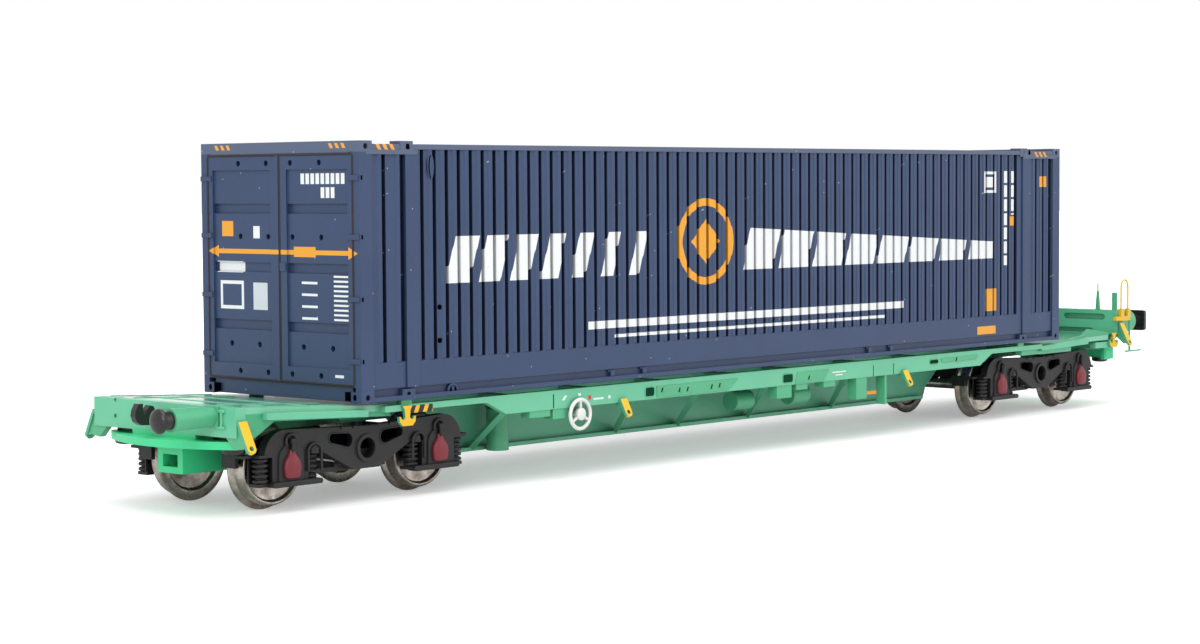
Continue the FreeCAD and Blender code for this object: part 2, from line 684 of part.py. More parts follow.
sill_web = ((body_half_width, sill_bottom_z), (sill_outer_y, sill_bottom_z))
eye_places = (                                                   # x, y, z of the root, length, web
    (inner_face_x + 0.75, body_half_width, 13.1, 4.65,
     ((14.6, 9.45), (12.9, inner_headstock_bottom_z), (body_half_width, inner_headstock_bottom_z))),
    (pivot_mid_x - 36.8, sill_outer_y, sill_bottom_z + 0.4, 3.0, sill_web),
    (pivot_mid_x + 38.1, sill_outer_y, sill_bottom_z + 0.4, 3.0, sill_web),
    (outer_face_x - 1.2, body_half_width, 16.1, 4.9,
     ((16.6, 12.2), (14.4, outer_headstock_bottom_z), (body_half_width, outer_headstock_bottom_z))))
hook_places = (                                                  # x, y, z of the upper back edge
    (pivot_a_x + 4.8, sill_outer_y, sill_top_z - 0.15),
    (outer_face_x - 4.1, body_half_width, 14.45))
ledge_height = 0.95
ledge_width = 1.0
ledge_places = (                                                 # x, z at each end of the top edge
    (pivot_a_x - 20.4, 14.2, pivot_a_x - 2.1, 13.35),
    (pivot_b_x - 4.0, 13.3, pivot_b_x + 12.9, 13.75))
handbrake_radius = 2.5
handbrake_x = pivot_mid_x - 46.9
handbrake_z = sill_bottom_z - 1.05
pocket_half_width = 2.7
pocket_height = 4.0
pocket_mouth_width = 3.2
pocket_mouth_height = 1.7
pocket_mouth_rise = 1.75
pocket_depth = 6.0
handrail_z = 17.2
recess_depth = 0.8
recess_places = (                                                # y at both ends, z, radius of the ends
    (3.9, 12.1, 17.45, 0.6), (-12.1, -3.9, 17.45, 0.6), (-9.6, 9.6, 14.75, 0.45))
tank_radius = 1.6
tank_length = 4.6
tank_places = ((pivot_mid_x, -10.0, 8.3), (pivot_mid_x + 15.4, -10.0, 8.3))
box_places = (                                                   # middle x, length, depth
    (pivot_mid_x + 4.1, 3.9, 2.1), (pivot_mid_x + 8.9, 3.1, 1.0), (pivot_mid_x + 16.6, 3.2, 1.0),
    (pivot_mid_x + 25.8, 3.0, 3.7), (pivot_mid_x + 32.9, 0.6, 5.1),
    (pivot_mid_x - 55.0, 4.4, 1.0), (pivot_mid_x - 50.8, 2.8, 1.5))
cylinder_x = pivot_mid_x - 53.9


# ---------------------------------------------------------------- the wagon
for letter, x in (("a", pivot_a_x), ("b", pivot_b_x)):
    bogie(letter, x)
    for number, s in ((1, -1), (2, 1)):
        wheelset(f"bogie_{letter}_wheelset_{number}", x + s * wheelbase / 2)

girder = spine()
sill = side_sill()
save("spine", [girder])
save("side_sills", both_sides([sill]))
save("cross_members", cross_members())
save("outriggers", outriggers(girder, sill))
inner_back_x = inner_face_x + headstock_thickness
outer_back_x = outer_face_x - outer_headstock_thickness
save("inner_end_deck", [end_deck(inner_back_x, inner_deck_z, pivot_a_x, 1)])
outer_deck = end_deck(outer_back_x, outer_deck_z, pivot_b_x, -1)
save("outer_end_deck", [outer_deck])
save("end_side_plates", both_sides([inner_side_plate(inner_back_x, pivot_a_x),
                                    outer_side_plate(pivot_b_x).cut(outer_deck)]))
save("inner_headstock", [inner_headstock()])
save("outer_headstock", [outer_headstock()])
inner_valance_z = (9.3, 10.4, inner_headstock_bottom_z)
outer_valance_z = (9.4, 10.9, outer_apron_bottom_z)
valances = [valance(inner_face_x, -1, *inner_valance_z).cut(girder),
            valance(outer_face_x, 1, *outer_valance_z).cut(girder)]
save("valances", valances)
save("coupling_pockets", [pocket(inner_face_x, -1, inner_valance_z[0]),
                          pocket(outer_face_x, 1, outer_valance_z[0])])
save("buffer_casings", [inner_casing(-inner_buffer_y)] + both_sides([outer_casing(outer_buffer_y)]))
save("inner_buffer_head", [inner_head(-inner_buffer_y)])
save("outer_buffer_heads", both_sides([outer_head(outer_buffer_y)]))
save("draw_hooks", [draw_hook(inner_face_x, -1, 13.45), draw_hook(outer_face_x, 1, 15.6)])
save("lashing_eyes", both_sides([lashing_eye(*place[:4]) for place in eye_places]))
save("eye_gussets", both_sides([eye_gusset(*place).cut(valances) for place in eye_places]))
save("rope_hooks", both_sides([rope_hook(*place) for place in hook_places]))
save("side_ledges", both_sides([ledge(x0, x1, z0, z1) for x0, z0, x1, z1 in ledge_places]))

wheel_y = sill_outer_y + 0.35
save("handbrake_wheels", both_sides([handbrake(handbrake_x, wheel_y, handbrake_z)]))
bracket_z = (handbrake_z - 0.7, sill_bottom_z)
save("handbrake_brackets", both_sides([
    box((handbrake_x - 0.9, handbrake_x + 0.9), (wheel_y - 1.4, wheel_y - 0.9), bracket_z)]))

tanks = [fused([rod((x - tank_length / 2, y, z), (x + tank_length / 2, y, z), tank_radius),
                box((x - 0.35, x + 0.35), (y - 0.35, y + 0.35), (z, cross_member_bottom_z))])
         for x, y, z in tank_places]
save("air_tanks", tanks)
boxes = [box((x - length / 2, x + length / 2), (-sill_outer_y + 0.1, -body_half_width + 0.9),
             (sill_bottom_z - depth, sill_bottom_z)) for x, length, depth in box_places]
save("brake_boxes", boxes)
lever_x = box_places[3][0] + box_places[3][1] / 2
save("brake_lever", [box((lever_x, lever_x + 3.1), (-sill_outer_y + 0.3, -sill_outer_y + 0.8), (7.7, 8.3))])
cylinders = [fused([rod((x, y, spine_bottom_z), (x, y, 10.6), 1.7),
                    box((x - 1.3, x + 1.3), (y - 1.3, y + 1.3), (10.6, cross_member_bottom_z))])
             for x, y in ((cylinder_x, -6.4), (2 * pivot_mid_x - cylinder_x, 6.4))]
save("brake_cylinders", cylinders)

post_x = (outer_back_x, outer_back_x + 0.5)
post_z = outer_headstock_top_z
post = prism([(-0.45, post_z), (0.45, post_z), (0.14, post_z + 3.8), (0.1, post_z + 5.3),
              (-0.1, post_z + 5.3), (-0.14, post_z + 3.8)], "yz", *post_x).translated(vec(0, 11.0, 0))
end_plate = box(post_x, (body_half_width - 1.1, body_half_width - 0.1), (post_z, post_z + 3.5))
save("end_posts", both_sides([post, end_plate]))
save("handrails", both_sides([handrail(outer_face_x - 1.3, body_half_width, handrail_z)]))
step_x = outer_face_x + 2.0
step_y = body_half_width + 0.35
step = fused([rod((step_x, step_y, handrail_z - 0.5), (step_x, step_y, 10.6), 0.22),
              box((step_x - 1.4, step_x + 4.2), (step_y - 0.25, step_y + 0.25), (10.4, 10.7))])
save("end_steps", both_sides([step]))
seat_y = (min(container_half_width - 1.6, body_half_width), sill_outer_y)
seats = [box((x - 1.0, x + 1.0), seat_y, (sill_top_z, container_base_z))
         for x in (near_post_x, far_post_x)]
save("container_seats", both_sides(seats))

# ---------------------------------------------------------------- the container
half = container_half_width
low_castings, high_castings = castings()
save("container_castings", low_castings + high_castings)
save("container_bottom_rails", [rail.cut(low_castings) for rail in both_sides([bottom_rail()])])
rail_x = (door_end_x + casting_length, blind_end_x - casting_length)
rail_top_z = container_top_z - top_rail_drop
rail_bottom_z = container_top_z - top_rail_height
top_rails = both_sides([box(rail_x, (wall_inner_y, half - 0.05), (rail_bottom_z, rail_top_z))])
save("container_top_rails", [rail.cut(high_castings) for rail in top_rails])

wall_low = container_base_z + bottom_rail_height
corner_z = (container_base_z + casting_height, container_top_z - casting_height)
corners = [box((x - casting_length / 2, x + casting_length / 2), (half - corner_post_width, half), corner_z)
           for x in (casting_x[0], casting_x[-1])]
save("container_corner_posts", both_sides(corners))
wall = box(rail_x, (wall_inner_y, wall_inner_y + wall_thickness), (wall_low, rail_bottom_z))
wall = wall.cut(high_castings)
save("container_near_side_wall", [mirrored(wall)])
save("container_far_side_wall", [wall])
mids = [box((x + post_lead - post_width / 2, x + post_lead + post_width / 2), (half - wall_inset, half),
            (wall_low, rail_bottom_z)) for x in (near_post_x, far_post_x)]
save("container_lifting_posts", [post.cut(high_castings) for post in both_sides(mids)])

beam_y = (-half + casting_width, half - casting_width)
end_inner = (door_end_x + end_beam_depth, blind_end_x - end_beam_depth)
floor_z = (container_base_z + 0.5, container_base_z + 1.3)
save("container_floor", [box(end_inner, beam_y, floor_z).cut(low_castings)])
roof = box(end_inner, (-wall_inner_y, wall_inner_y), (rail_bottom_z + 0.1, rail_top_z - 0.1))
save("container_roof", [roof.cut(high_castings)])
header_z = (container_top_z - header_height, container_top_z)
door_sill_z = (container_base_z + 0.1, container_base_z + door_sill_height)
save("container_end_beams", [
    box((door_end_x, end_inner[0]), beam_y, header_z),
    box((door_end_x + 0.4, end_inner[0]), beam_y, door_sill_z),
    box((end_inner[1], blind_end_x), beam_y, header_z),
    box((end_inner[1], blind_end_x - 0.4), beam_y, (container_base_z + 0.1, wall_low))])
end_wall_x = (end_inner[1], end_inner[1] + wall_thickness)
end_wall_y = half - corner_post_width
end_wall = box(end_wall_x, (-end_wall_y, end_wall_y), (wall_low, header_z[0]))
save("container_end_wall", [end_wall.cut(high_castings)])
save("container_near_door", [door(-1)])
save("container_far_door", [door(1)])
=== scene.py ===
# %% [markdown]
# # A 1:76 container wagon, dressed over its CAD frame
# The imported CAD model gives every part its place. This notebook keeps the parts whose
# shape is already right, gives them moulded-plastic and turned-steel finishes, and adds
# or replaces the pieces that want finer surfaces: the ribbed container walls, the
# wheels, the axlebox covers and the small trim. Lengths are written in millimetres and
# turned into metres once, where a mesh is made. +X runs to the tall end, -Y is the near
# side and Z is up from the rails.

# %% Load the CAD frame
import json
import math

import bmesh
import bpy
import numpy as np
from mathutils import Matrix, Vector


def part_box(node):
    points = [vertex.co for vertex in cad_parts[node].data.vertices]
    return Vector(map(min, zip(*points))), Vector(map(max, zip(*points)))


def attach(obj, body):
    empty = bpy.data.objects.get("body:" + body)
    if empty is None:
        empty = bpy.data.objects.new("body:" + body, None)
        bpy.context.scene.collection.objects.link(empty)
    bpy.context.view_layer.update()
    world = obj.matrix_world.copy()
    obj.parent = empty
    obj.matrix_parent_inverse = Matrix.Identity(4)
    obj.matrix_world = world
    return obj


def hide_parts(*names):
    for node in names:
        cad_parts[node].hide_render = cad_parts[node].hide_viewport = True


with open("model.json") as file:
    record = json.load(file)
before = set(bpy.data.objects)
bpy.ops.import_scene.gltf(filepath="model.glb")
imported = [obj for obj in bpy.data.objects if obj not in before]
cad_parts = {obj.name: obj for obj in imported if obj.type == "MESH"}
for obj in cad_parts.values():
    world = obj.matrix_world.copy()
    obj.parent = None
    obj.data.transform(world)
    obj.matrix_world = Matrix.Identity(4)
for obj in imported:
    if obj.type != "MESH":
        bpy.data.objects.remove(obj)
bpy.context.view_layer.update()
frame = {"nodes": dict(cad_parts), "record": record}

MM = 0.001  # one millimetre in metres


def at(node):
    """Lowest and highest corner of a CAD node, in millimetres, as two arrays."""
    low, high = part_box(node)
    return np.array(low[:]) / MM, np.array(high[:]) / MM


# %% [markdown]
# ## One way to make every surface
# Nearly all of the new parts are a grid of points worked out with numpy. A grid needs
# only its rows and columns to know its faces. A wall is two grids joined at their rims,
# and a turned part is a profile swept round an axis. Blender's own primitives could do
# some of this, but then no formula would say why a part has its shape.

# %% Grids, walls and turned parts
def grid(x, y, z):
    """Coordinates, each an array or one number, spread to one grid of points."""
    return np.stack(np.broadcast_arrays(x, y, z), -1).astype(float)


def grid_faces(rows, cols, ring_rows=False, ring_cols=False):
    """Quads of a grid of rows x cols points: (i, j) joins (i+1, j), (i+1, j+1) and (i, j+1).
    A ring direction wraps to its first line."""
    i = np.arange(rows if ring_rows else rows - 1)[:, None]
    j = np.arange(cols if ring_cols else cols - 1)[None, :]
    i2, j2 = (i + 1) % rows, (j + 1) % cols
    corners = [i * cols + j, i2 * cols + j, i2 * cols + j2, i * cols + j2]
    return np.stack(np.broadcast_arrays(*corners), -1).reshape(-1, 4)


def wall(outer, inner):
    """A closed wall: the outer grid, the inner grid, and a band of quads between their rims."""
    r, c, _ = outer.shape
    n = r * c
    rim = np.concatenate([np.arange(c - 1), np.arange(r - 1) * c + c - 1,
                          n - 1 - np.arange(c - 1), (r - 1 - np.arange(r - 1)) * c])
    nxt = np.roll(rim, -1)
    band = np.stack([rim, nxt, nxt + n, rim + n], -1)
    faces = grid_faces(r, c)
    points = np.concatenate([outer.reshape(-1, 3), inner.reshape(-1, 3)])
    return points, np.concatenate([faces, faces[:, ::-1] + n, band])


def turned(profile, centre, axis="y", steps=48, ring=False):
    """A profile of (radius r, place along the axis) pairs swept round an axis through centre:
    the angle a gives r cos a and r sin a across the axis."""
    r, s = np.asarray(profile, float).T
    a = np.linspace(0, 2 * np.pi, steps, endpoint=False)[:, None]
    p, q = r * np.cos(a), r * np.sin(a)
    order = {"x": (s, p, q), "y": (p, s, q), "z": (p, q, s)}[axis]
    points = grid(*order).reshape(-1, 3) + np.asarray(centre, float)
    return points, grid_faces(steps, len(s), True, ring)


print("a grid of 3 x 4 points has", len(grid_faces(3, 4)), "faces")

# %% [markdown]
# ## Wires, plates and blocks
# Smaller parts come from outlines. A wire is a circle carried along a path, a plate is
# an outline given a thickness, and a block is a centre with three half sizes. Outlines
# are pairs of numbers in a flat plane, made of arcs, and are set upright when they are
# used.

# %% Outlines and what is made of them
ALONG_X, ALONG_Y = (1, 0, 0), (0, 1, 0)


def arc(u, v, ru, rv, first=0, last=360, steps=24):
    """Pairs (u + ru cos a, v + rv sin a), with a from first to last degrees; a whole turn
    leaves out its last point."""
    a = np.radians(np.linspace(first, last, steps, endpoint=last - first < 360))
    return np.stack([u + ru * np.cos(a), v + rv * np.sin(a)], -1)


def rounded(u0, u1, v0, v1, r):
    """A rectangle with round corners: four quarter circles, each centred r inside its corner."""
    corners = [(u1 - r, v1 - r), (u0 + r, v1 - r), (u0 + r, v0 + r), (u1 - r, v0 + r)]
    return np.concatenate([arc(u, v, r, r, 90 * k, 90 * k + 90, 5)
                           for k, (u, v) in enumerate(corners)])


def standing(outline, level, across="y"):
    """Pairs as points of the plane where one coordinate is level."""
    return np.insert(np.asarray(outline, float), "xyz".index(across), level, axis=1)


def wire(path, radius, normal, steps=8, ring=False):
    """A round wire along a flat path: path + r (cos a N + sin a T x N), with T the way along
    the path and N the normal of the path's own plane."""
    path = np.asarray(path, float)
    way = np.roll(path, -1, 0) - np.roll(path, 1, 0) if ring else np.gradient(path, axis=0)
    way /= np.linalg.norm(way, axis=1, keepdims=True)
    n = np.asarray(normal, float)
    side = np.cross(way, n)
    a = np.linspace(0, 2 * np.pi, steps, endpoint=False)
    r = np.full(len(path), float(radius))
    if not ring:  # a point at each end closes the wire
        path, side, r = (np.concatenate([v[:1], v, v[-1:]]) for v in (path, side, r))
        r[[0, -1]] = 0
    turn = np.cos(a)[None, :, None] * n + np.sin(a)[None, :, None] * side[:, None, :]
    points = (path[:, None] + r[:, None, None] * turn).reshape(-1, 3)
    return points, grid_faces(len(path), steps, ring, True)


def plate(outline, low, high, across="y"):
    """An outline given a thickness from low to high, with an end face on each side."""
    n = len(outline)
    i = np.arange(n)
    band = np.stack([i, (i + 1) % n, (i + 1) % n + n, i + n], -1).tolist()
    points = np.concatenate([standing(outline, level, across) for level in (low, high)])
    return points, band + [list(range(n)), list(range(2 * n - 1, n - 1, -1))]


def blocks(centres, halves):
    """Small blocks: each centre plus or minus its half sizes gives eight corners."""
    signs = np.array([(x, y, z) for x in (-1, 1) for y in (-1, 1) for z in (-1, 1)], float)
    c, h = np.broadcast_arrays(np.asarray(centres, float), np.asarray(halves, float))
    six = np.array([(0, 1, 3, 2), (4, 6, 7, 5), (0, 4, 5, 1),
                    (2, 3, 7, 6), (0, 2, 6, 4), (1, 5, 7, 3)])
    points = (c[:, None] + h[:, None] * signs).reshape(-1, 3)
    return points, (np.arange(len(c))[:, None, None] * 8 + six).reshape(-1, 4)


def mirrored(parts):
    """The same parts again on the other side: y becomes -y."""
    return parts + [(p * np.array([1, -1, 1]), f) for p, f in parts]


print("a rounded rectangle has", len(rounded(0, 4, 0, 2, 0.5)), "points")

# %% [markdown]
# ## From arrays to a piece of the model
# A piece joins its parts into one mesh in metres, merges the points where a turned
# profile meets its axis, and turns all faces outwards. It then rides on a CAD body, so
# that it moves with the joints, and may stand for CAD parts, which are hidden. A small
# Bevel modifier rounds the corners of plates and blocks, because a moulded edge is
# never razor sharp.

# %% Make a piece
MERGE = 2e-7  # metres: points nearer than this are one point
made = {}


def piece(name, parts, finish, body, replaces=(), round_edges=0.0, crease=35, note=None):
    """Joins parts (points, faces[, values]) into one object that rides on a body. values, one
    a point, go into the attribute called note."""
    points, faces, values, base = [], [], [], 0
    for p, f, *rest in parts:
        points.append(p)
        rows = f.tolist() if isinstance(f, np.ndarray) else f
        faces += [[i + base for i in face] for face in rows]
        values.append(rest[0] if rest else np.zeros(len(p)))
        base += len(p)
    mesh = bpy.data.meshes.new(name)
    mesh.from_pydata((np.concatenate(points) * MM).tolist(), [], faces)
    if note:
        column = np.concatenate(values).astype(np.float32)
        mesh.attributes.new(note, "FLOAT", "POINT").data.foreach_set("value", column)
    work = bmesh.new()
    work.from_mesh(mesh)
    bmesh.ops.remove_doubles(work, verts=work.verts, dist=MERGE)
    bmesh.ops.recalc_face_normals(work, faces=work.faces)
    work.to_mesh(mesh)
    work.free()
    mesh.polygons.foreach_set("use_smooth", np.ones(len(mesh.polygons), bool))
    mesh.set_sharp_from_angle(angle=math.radians(crease))
    mesh.materials.append(finish)
    thing = bpy.data.objects.new(name, mesh)
    bpy.context.scene.collection.objects.link(thing)
    if round_edges:
        soft = thing.modifiers.new("rounded edges", "BEVEL")
        soft.width, soft.segments, soft.limit_method = round_edges * MM, 2, "ANGLE"
        soft.harden_normals = True
    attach(thing, body)
    if replaces:
        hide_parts(*replaces)
    made[name] = len(mesh.polygons)
    print(f"{name}: {made[name]} faces on {body}")


# %% [markdown]
# ## Nodes with one small helper
# Every finish is a graph of shader nodes. One function adds a node, sets its own
# properties and fills its sockets, either with a value or with a link. Colours are
# written the way a paint chart gives them, as sRGB hex, and turned to linear light once.

# %% Colour and node helpers
def linear(hexcode):
    """An sRGB hex colour as linear RGBA: c / 12.92 up to 0.04045, otherwise
    ((c + 0.055) / 1.055) ** 2.4."""
    c = np.array([int(hexcode[i:i + 2], 16) / 255 for i in (1, 3, 5)])
    c = np.where(c <= 0.04045, c / 12.92, ((c + 0.055) / 1.055) ** 2.4)
    return (*[float(v) for v in c], 1.0)


def add(tree, kind, sockets=None, **settings):
    """Adds a node. settings are its own properties; sockets maps an input to a value, or to
    the output that feeds it."""
    node = tree.nodes.new(kind)
    for key, value in settings.items():
        setattr(node, key, value)
    for key, value in (sockets or {}).items():
        value = getattr(value, "socket", value)
        if isinstance(value, bpy.types.NodeSocket):
            tree.links.new(value, node.inputs[key])
        else:
            node.inputs[key].default_value = value
    return node


def per_mm(millimetres):
    """A texture's scale for a pattern of that real size: one over the size in metres."""
    return 1.0 / (millimetres * MM)


def new_finish(name):
    """A node material: itself, its tree, its Principled shader and its Object coordinates."""
    finish = bpy.data.materials.new(name)
    finish.use_nodes = True
    tree = finish.node_tree
    place = add(tree, "ShaderNodeTexCoord").outputs["Object"]
    return finish, tree, tree.nodes["Principled BSDF"], place


print("mid grey #808080 is", [round(v, 3) for v in linear("#808080")[:3]], "in linear light")

# %% [markdown]
# ## Moulded and sprayed plastic
# The wagon is injection-moulded ABS and polystyrene with a thin satin spray coat. Such a skin shows
# three things when looked at closely: a slow drift of tone of a few percent where the coat is
# thicker, a fine grain from the spray, and soft corners that catch the light and lose a little
# paint. The drift and the grain are noise at their real sizes, and the corners come from the Bevel
# node, whose normal differs from the true one only near an edge. There the colour is mixed towards
# an edge colour, partly wear and partly a painted highlight. Painted shade darkens the colour in
# the recesses, where the Ambient Occlusion node finds other surfaces close by. One recipe serves
# all the plastics, because they were all made this way; only colour, sheen and grain change.

# %% The moulded-plastic recipe
DRIFT = 14.0  # millimetres from one cloud of tone to the next
RECESS_SHADE_REACH = 3.0  # millimetres from which a surface still shades a recess
PLASTIC_IOR = 1.49


def moulded(name, colour, edge_colour_wear_and_highlight, rough, grain, depth=0.10, edge_wear_and_highlight=0.35, relief=0.006, edge=0.14,
            prints=None, recess_shade=0.55, shine=0.5, coat=0.0):
    """Satin plastic. Its colour is the base colour x (1 - depth to 1 + depth) by the drift of tone,
    mixed at the edges to a second colour, partly wear and partly a painted highlight, with the
    prints laid over it, and then darkened in the deepest recesses by up to the given share, which
    is painted shade. grain, relief and edge are in millimetres."""
    finish, tree, skin, place = new_finish(name)
    base = linear(colour)[:3]
    darker = (*[v * (1 - depth) for v in base], 1.0)
    lighter = (*[min(1.0, v * (1 + depth)) for v in base], 1.0)
    cloud = add(tree, "ShaderNodeTexNoise", {
        "Vector": place, "Scale": per_mm(DRIFT), "Detail": 3.0, "Roughness": 0.6})
    fine = add(tree, "ShaderNodeTexNoise", {
        "Vector": place, "Scale": per_mm(grain), "Detail": 2.0, "Roughness": 0.55})
    spread = add(tree, "ShaderNodeMapRange", {
        "Value": cloud.outputs["Fac"], "From Min": 0.32, "From Max": 0.68}).outputs["Result"]
    tone = add(tree, "ShaderNodeMix", {"Factor": spread, "A": darker, "B": lighter},
               data_type="RGBA").outputs["Result"]
    corner = add(tree, "ShaderNodeBevel", {"Radius": edge * MM}, samples=4).outputs["Normal"]
    true_normal = add(tree, "ShaderNodeNewGeometry").outputs["Normal"]
    match = add(tree, "ShaderNodeVectorMath", {0: corner, 1: true_normal},
                operation="DOT_PRODUCT").outputs["Value"]
    # Near an edge the colour is mixed towards the edge colour: partly wear, partly a painted
    # highlight.
    rim = add(tree, "ShaderNodeMapRange", {
        "Value": match, "From Min": 0.995, "From Max": 0.90, "To Min": 0.0, "To Max": edge_wear_and_highlight})
    patch = add(tree, "ShaderNodeMath", {0: rim.outputs["Result"], 1: spread},
                operation="MULTIPLY").outputs["Value"]
    surface = add(tree, "ShaderNodeMix", {"Factor": patch, "A": tone, "B": linear(edge_colour_wear_and_highlight)},
                  data_type="RGBA").outputs["Result"]
    if prints:
        surface = prints(tree, place, surface)
    # Painted shade: the colour is darkened where the Ambient Occlusion node finds surfaces within a
    # few millimetres.
    nearby = add(tree, "ShaderNodeAmbientOcclusion", {"Distance": RECESS_SHADE_REACH * MM}, samples=4)
    dim = add(tree, "ShaderNodeMapRange", {
        "Value": nearby.outputs["AO"], "From Min": 0.12, "From Max": 0.72,
        "To Min": 1.0 - recess_shade, "To Max": 1.0})
    recess_shaded = add(tree, "ShaderNodeVectorMath", {0: surface, "Scale": dim.outputs["Result"]},
                 operation="SCALE")
    tree.links.new(recess_shaded.outputs["Vector"], skin.inputs["Base Color"])
    matt = add(tree, "ShaderNodeMapRange", {
        "Value": fine.outputs["Fac"], "From Min": 0.3, "From Max": 0.7,
        "To Min": rough - 0.05, "To Max": rough + 0.05})
    tree.links.new(matt.outputs["Result"], skin.inputs["Roughness"])
    bump = add(tree, "ShaderNodeBump", {"Height": fine.outputs["Fac"], "Normal": corner,
                                        "Strength": 0.5, "Distance": relief * MM})
    tree.links.new(bump.outputs["Normal"], skin.inputs["Normal"])
    for socket, value in (("IOR", PLASTIC_IOR), ("Specular IOR Level", shine),
                          ("Coat Weight", coat), ("Coat Roughness", 0.22)):
        skin.inputs[socket].default_value = value
    return finish


print("plastic skin: tone drifts over", DRIFT, "mm, wash reaches", RECESS_SHADE_REACH, "mm")

# %% [markdown]
# ## Sums that the shader works out
# The container carries a pad-printed livery, and the doors have printed plates. A print
# is a flat shape in a plane, so each is a test on the Object coordinates. Such a test
# takes many Math nodes, and written node by node it is hard to read. So a small class
# lets Python's own signs stand for them: x + 2 adds a node that adds, and x > 2 adds one
# that gives 1 or 0.

# %% Numbers of the shader, and tests that draw a print
class Value:
    """A number that the shader works out. Each sign on it adds one Math node. A comparison
    gives 1 or 0, & multiplies two tests, and | takes the larger one."""

    def __init__(self, tree, socket):
        self.tree, self.socket = tree, socket

    def then(self, how, *others):
        """This number and the others through one Math node."""
        node = add(self.tree, "ShaderNodeMath", dict(enumerate((self, *others))), operation=how)
        return Value(self.tree, node.outputs["Value"])

    def fraction(self):
        return self.then("FRACT")

    def __abs__(self):
        return self.then("ABSOLUTE")

    def __add__(self, other):
        return self.then("ADD", other)

    def __sub__(self, other):
        return self.then("SUBTRACT", other)

    def __rsub__(self, other):
        return self.then("MULTIPLY_ADD", -1.0, other)

    def __mul__(self, other):
        return self.then("MULTIPLY", other)

    def __truediv__(self, other):
        return self.then("DIVIDE", other)

    def __pow__(self, other):
        return self.then("POWER", other)

    def __gt__(self, other):
        return self.then("GREATER_THAN", other)

    def __lt__(self, other):
        return self.then("LESS_THAN", other)

    def __and__(self, other):
        return self.then("MULTIPLY", other)

    def __or__(self, other):
        return self.then("MAXIMUM", other)


def spot(tree, place):
    """Object coordinates in millimetres as three values."""
    scaled = add(tree, "ShaderNodeVectorMath", {0: place, "Scale": 1 / MM}, operation="SCALE")
    parts = add(tree, "ShaderNodeSeparateXYZ", {"Vector": scaled.outputs["Vector"]})
    return [Value(tree, parts.outputs[axis]) for axis in "XYZ"]


def panel(u, v, u0, u1, v0, v1):
    """1 inside the rectangle u0 < u < u1, v0 < v < v1."""
    return ((u > u0) & (u < u1)) & ((v > v0) & (v < v1))


def striped(v, pitch, share):
    """1 where v is within the first share of each pitch."""
    return (v / pitch).fraction() < share


def any_of(masks):
    """1 where any of the masks is 1: the largest of them."""
    total, *rest = masks
    for mask in rest:
        total = total | mask
    return total


def panels(u, v, rectangles):
    """1 inside any of the rectangles (u0, u1, v0, v1)."""
    return any_of([panel(u, v, *rectangle) for rectangle in rectangles])


def lean(u, v, share, level):
    """u leaned over: u - share x (v - level)."""
    return u - (v - level) * share


def inked(under, mask, colour):
    """The colour under, with ink of the given colour laid over it as far as the mask says."""
    return add(mask.tree, "ShaderNodeMix", {"Factor": mask, "A": under, "B": linear(colour)},
               data_type="RGBA").outputs["Result"]


INK_WHITE, INK_AMBER = "#eef1f2", "#f0a62e"
print("inks", INK_WHITE, "and", INK_AMBER)

# %% [markdown]
# ## The livery of the long sides
# Both long sides carry the same plain design, made for this model. A row of leaning
# white bars grows thinner towards the middle, an amber ring holds a diamond, and a long
# white wedge of blocks tapers away from it, with a thin double line below. At the blind
# end there are a blank framed plate, two thin rules and four blank amber plates. Dust
# specks, a few tenths of a millimetre across, sit on the paint as they do on a real
# model. Meshes laid over the wall would also work, but the print has to follow each rib.

# %% Dust
SPECK_CELL, SPECK_REACH = 4.0, 0.024  # mm, and the speck's radius as a share of that
SPECK_CHANCE, SPECK_STRENGTH, SPECK_COLOUR = 0.28, 0.6, "#cdd3da"


def dusted(tree, place, under):
    """Pale specks: one point in each cell of a flat Voronoi pattern on (x + y, z + 0.7 y), which
    differs along every face of the box. They are 0.2 mm wide, in about a quarter of the cells."""
    x, y, z = spot(tree, place)
    flat = add(tree, "ShaderNodeCombineXYZ", {"X": x + y, "Y": z + y * 0.7})
    cells = add(tree, "ShaderNodeTexVoronoi", {
        "Vector": flat.outputs["Vector"], "Scale": 1 / SPECK_CELL}, voronoi_dimensions="2D")
    chance = add(tree, "ShaderNodeSeparateColor", {"Color": cells.outputs["Color"]})
    speck = ((Value(tree, cells.outputs["Distance"]) < SPECK_REACH)
             & (Value(tree, chance.outputs["Red"]) > 1 - SPECK_CHANCE))
    return inked(under, speck * SPECK_STRENGTH, SPECK_COLOUR)


print("one speck at most in", SPECK_CELL, "mm")

# %% Livery of the long sides
SIDE_Y = 16.0  # what is further out than this belongs to a long side
RING_X, RING_Z, RING_IN, RING_OUT, DIAMOND = -18.9, 35.2, 5.7, 6.9, 3.6
LIVERY_LOW, BAR_TOP, WEDGE_TOP, LIVERY_LEAN, LEAN_LEVEL = 30.4, 37.1, 37.2, 0.30, 33.8
BAR_START, BAR_END, BAR_PITCH = -76.0, -30.0, 6.6
WEDGE_START, WEDGE_END, WEDGE_PITCH = -8.5, 65.5, 9.3
BAR_SHARE, BAR_SHRINK = 0.80, 0.07  # a bar's share of its pitch, and what it loses each time
WEDGE_SHARE, WEDGE_SLOPE = 0.86, 0.052  # a block's share of its pitch, and how its top sinks
RULE_PITCH, RULE_SHARE = 2.6, 0.84
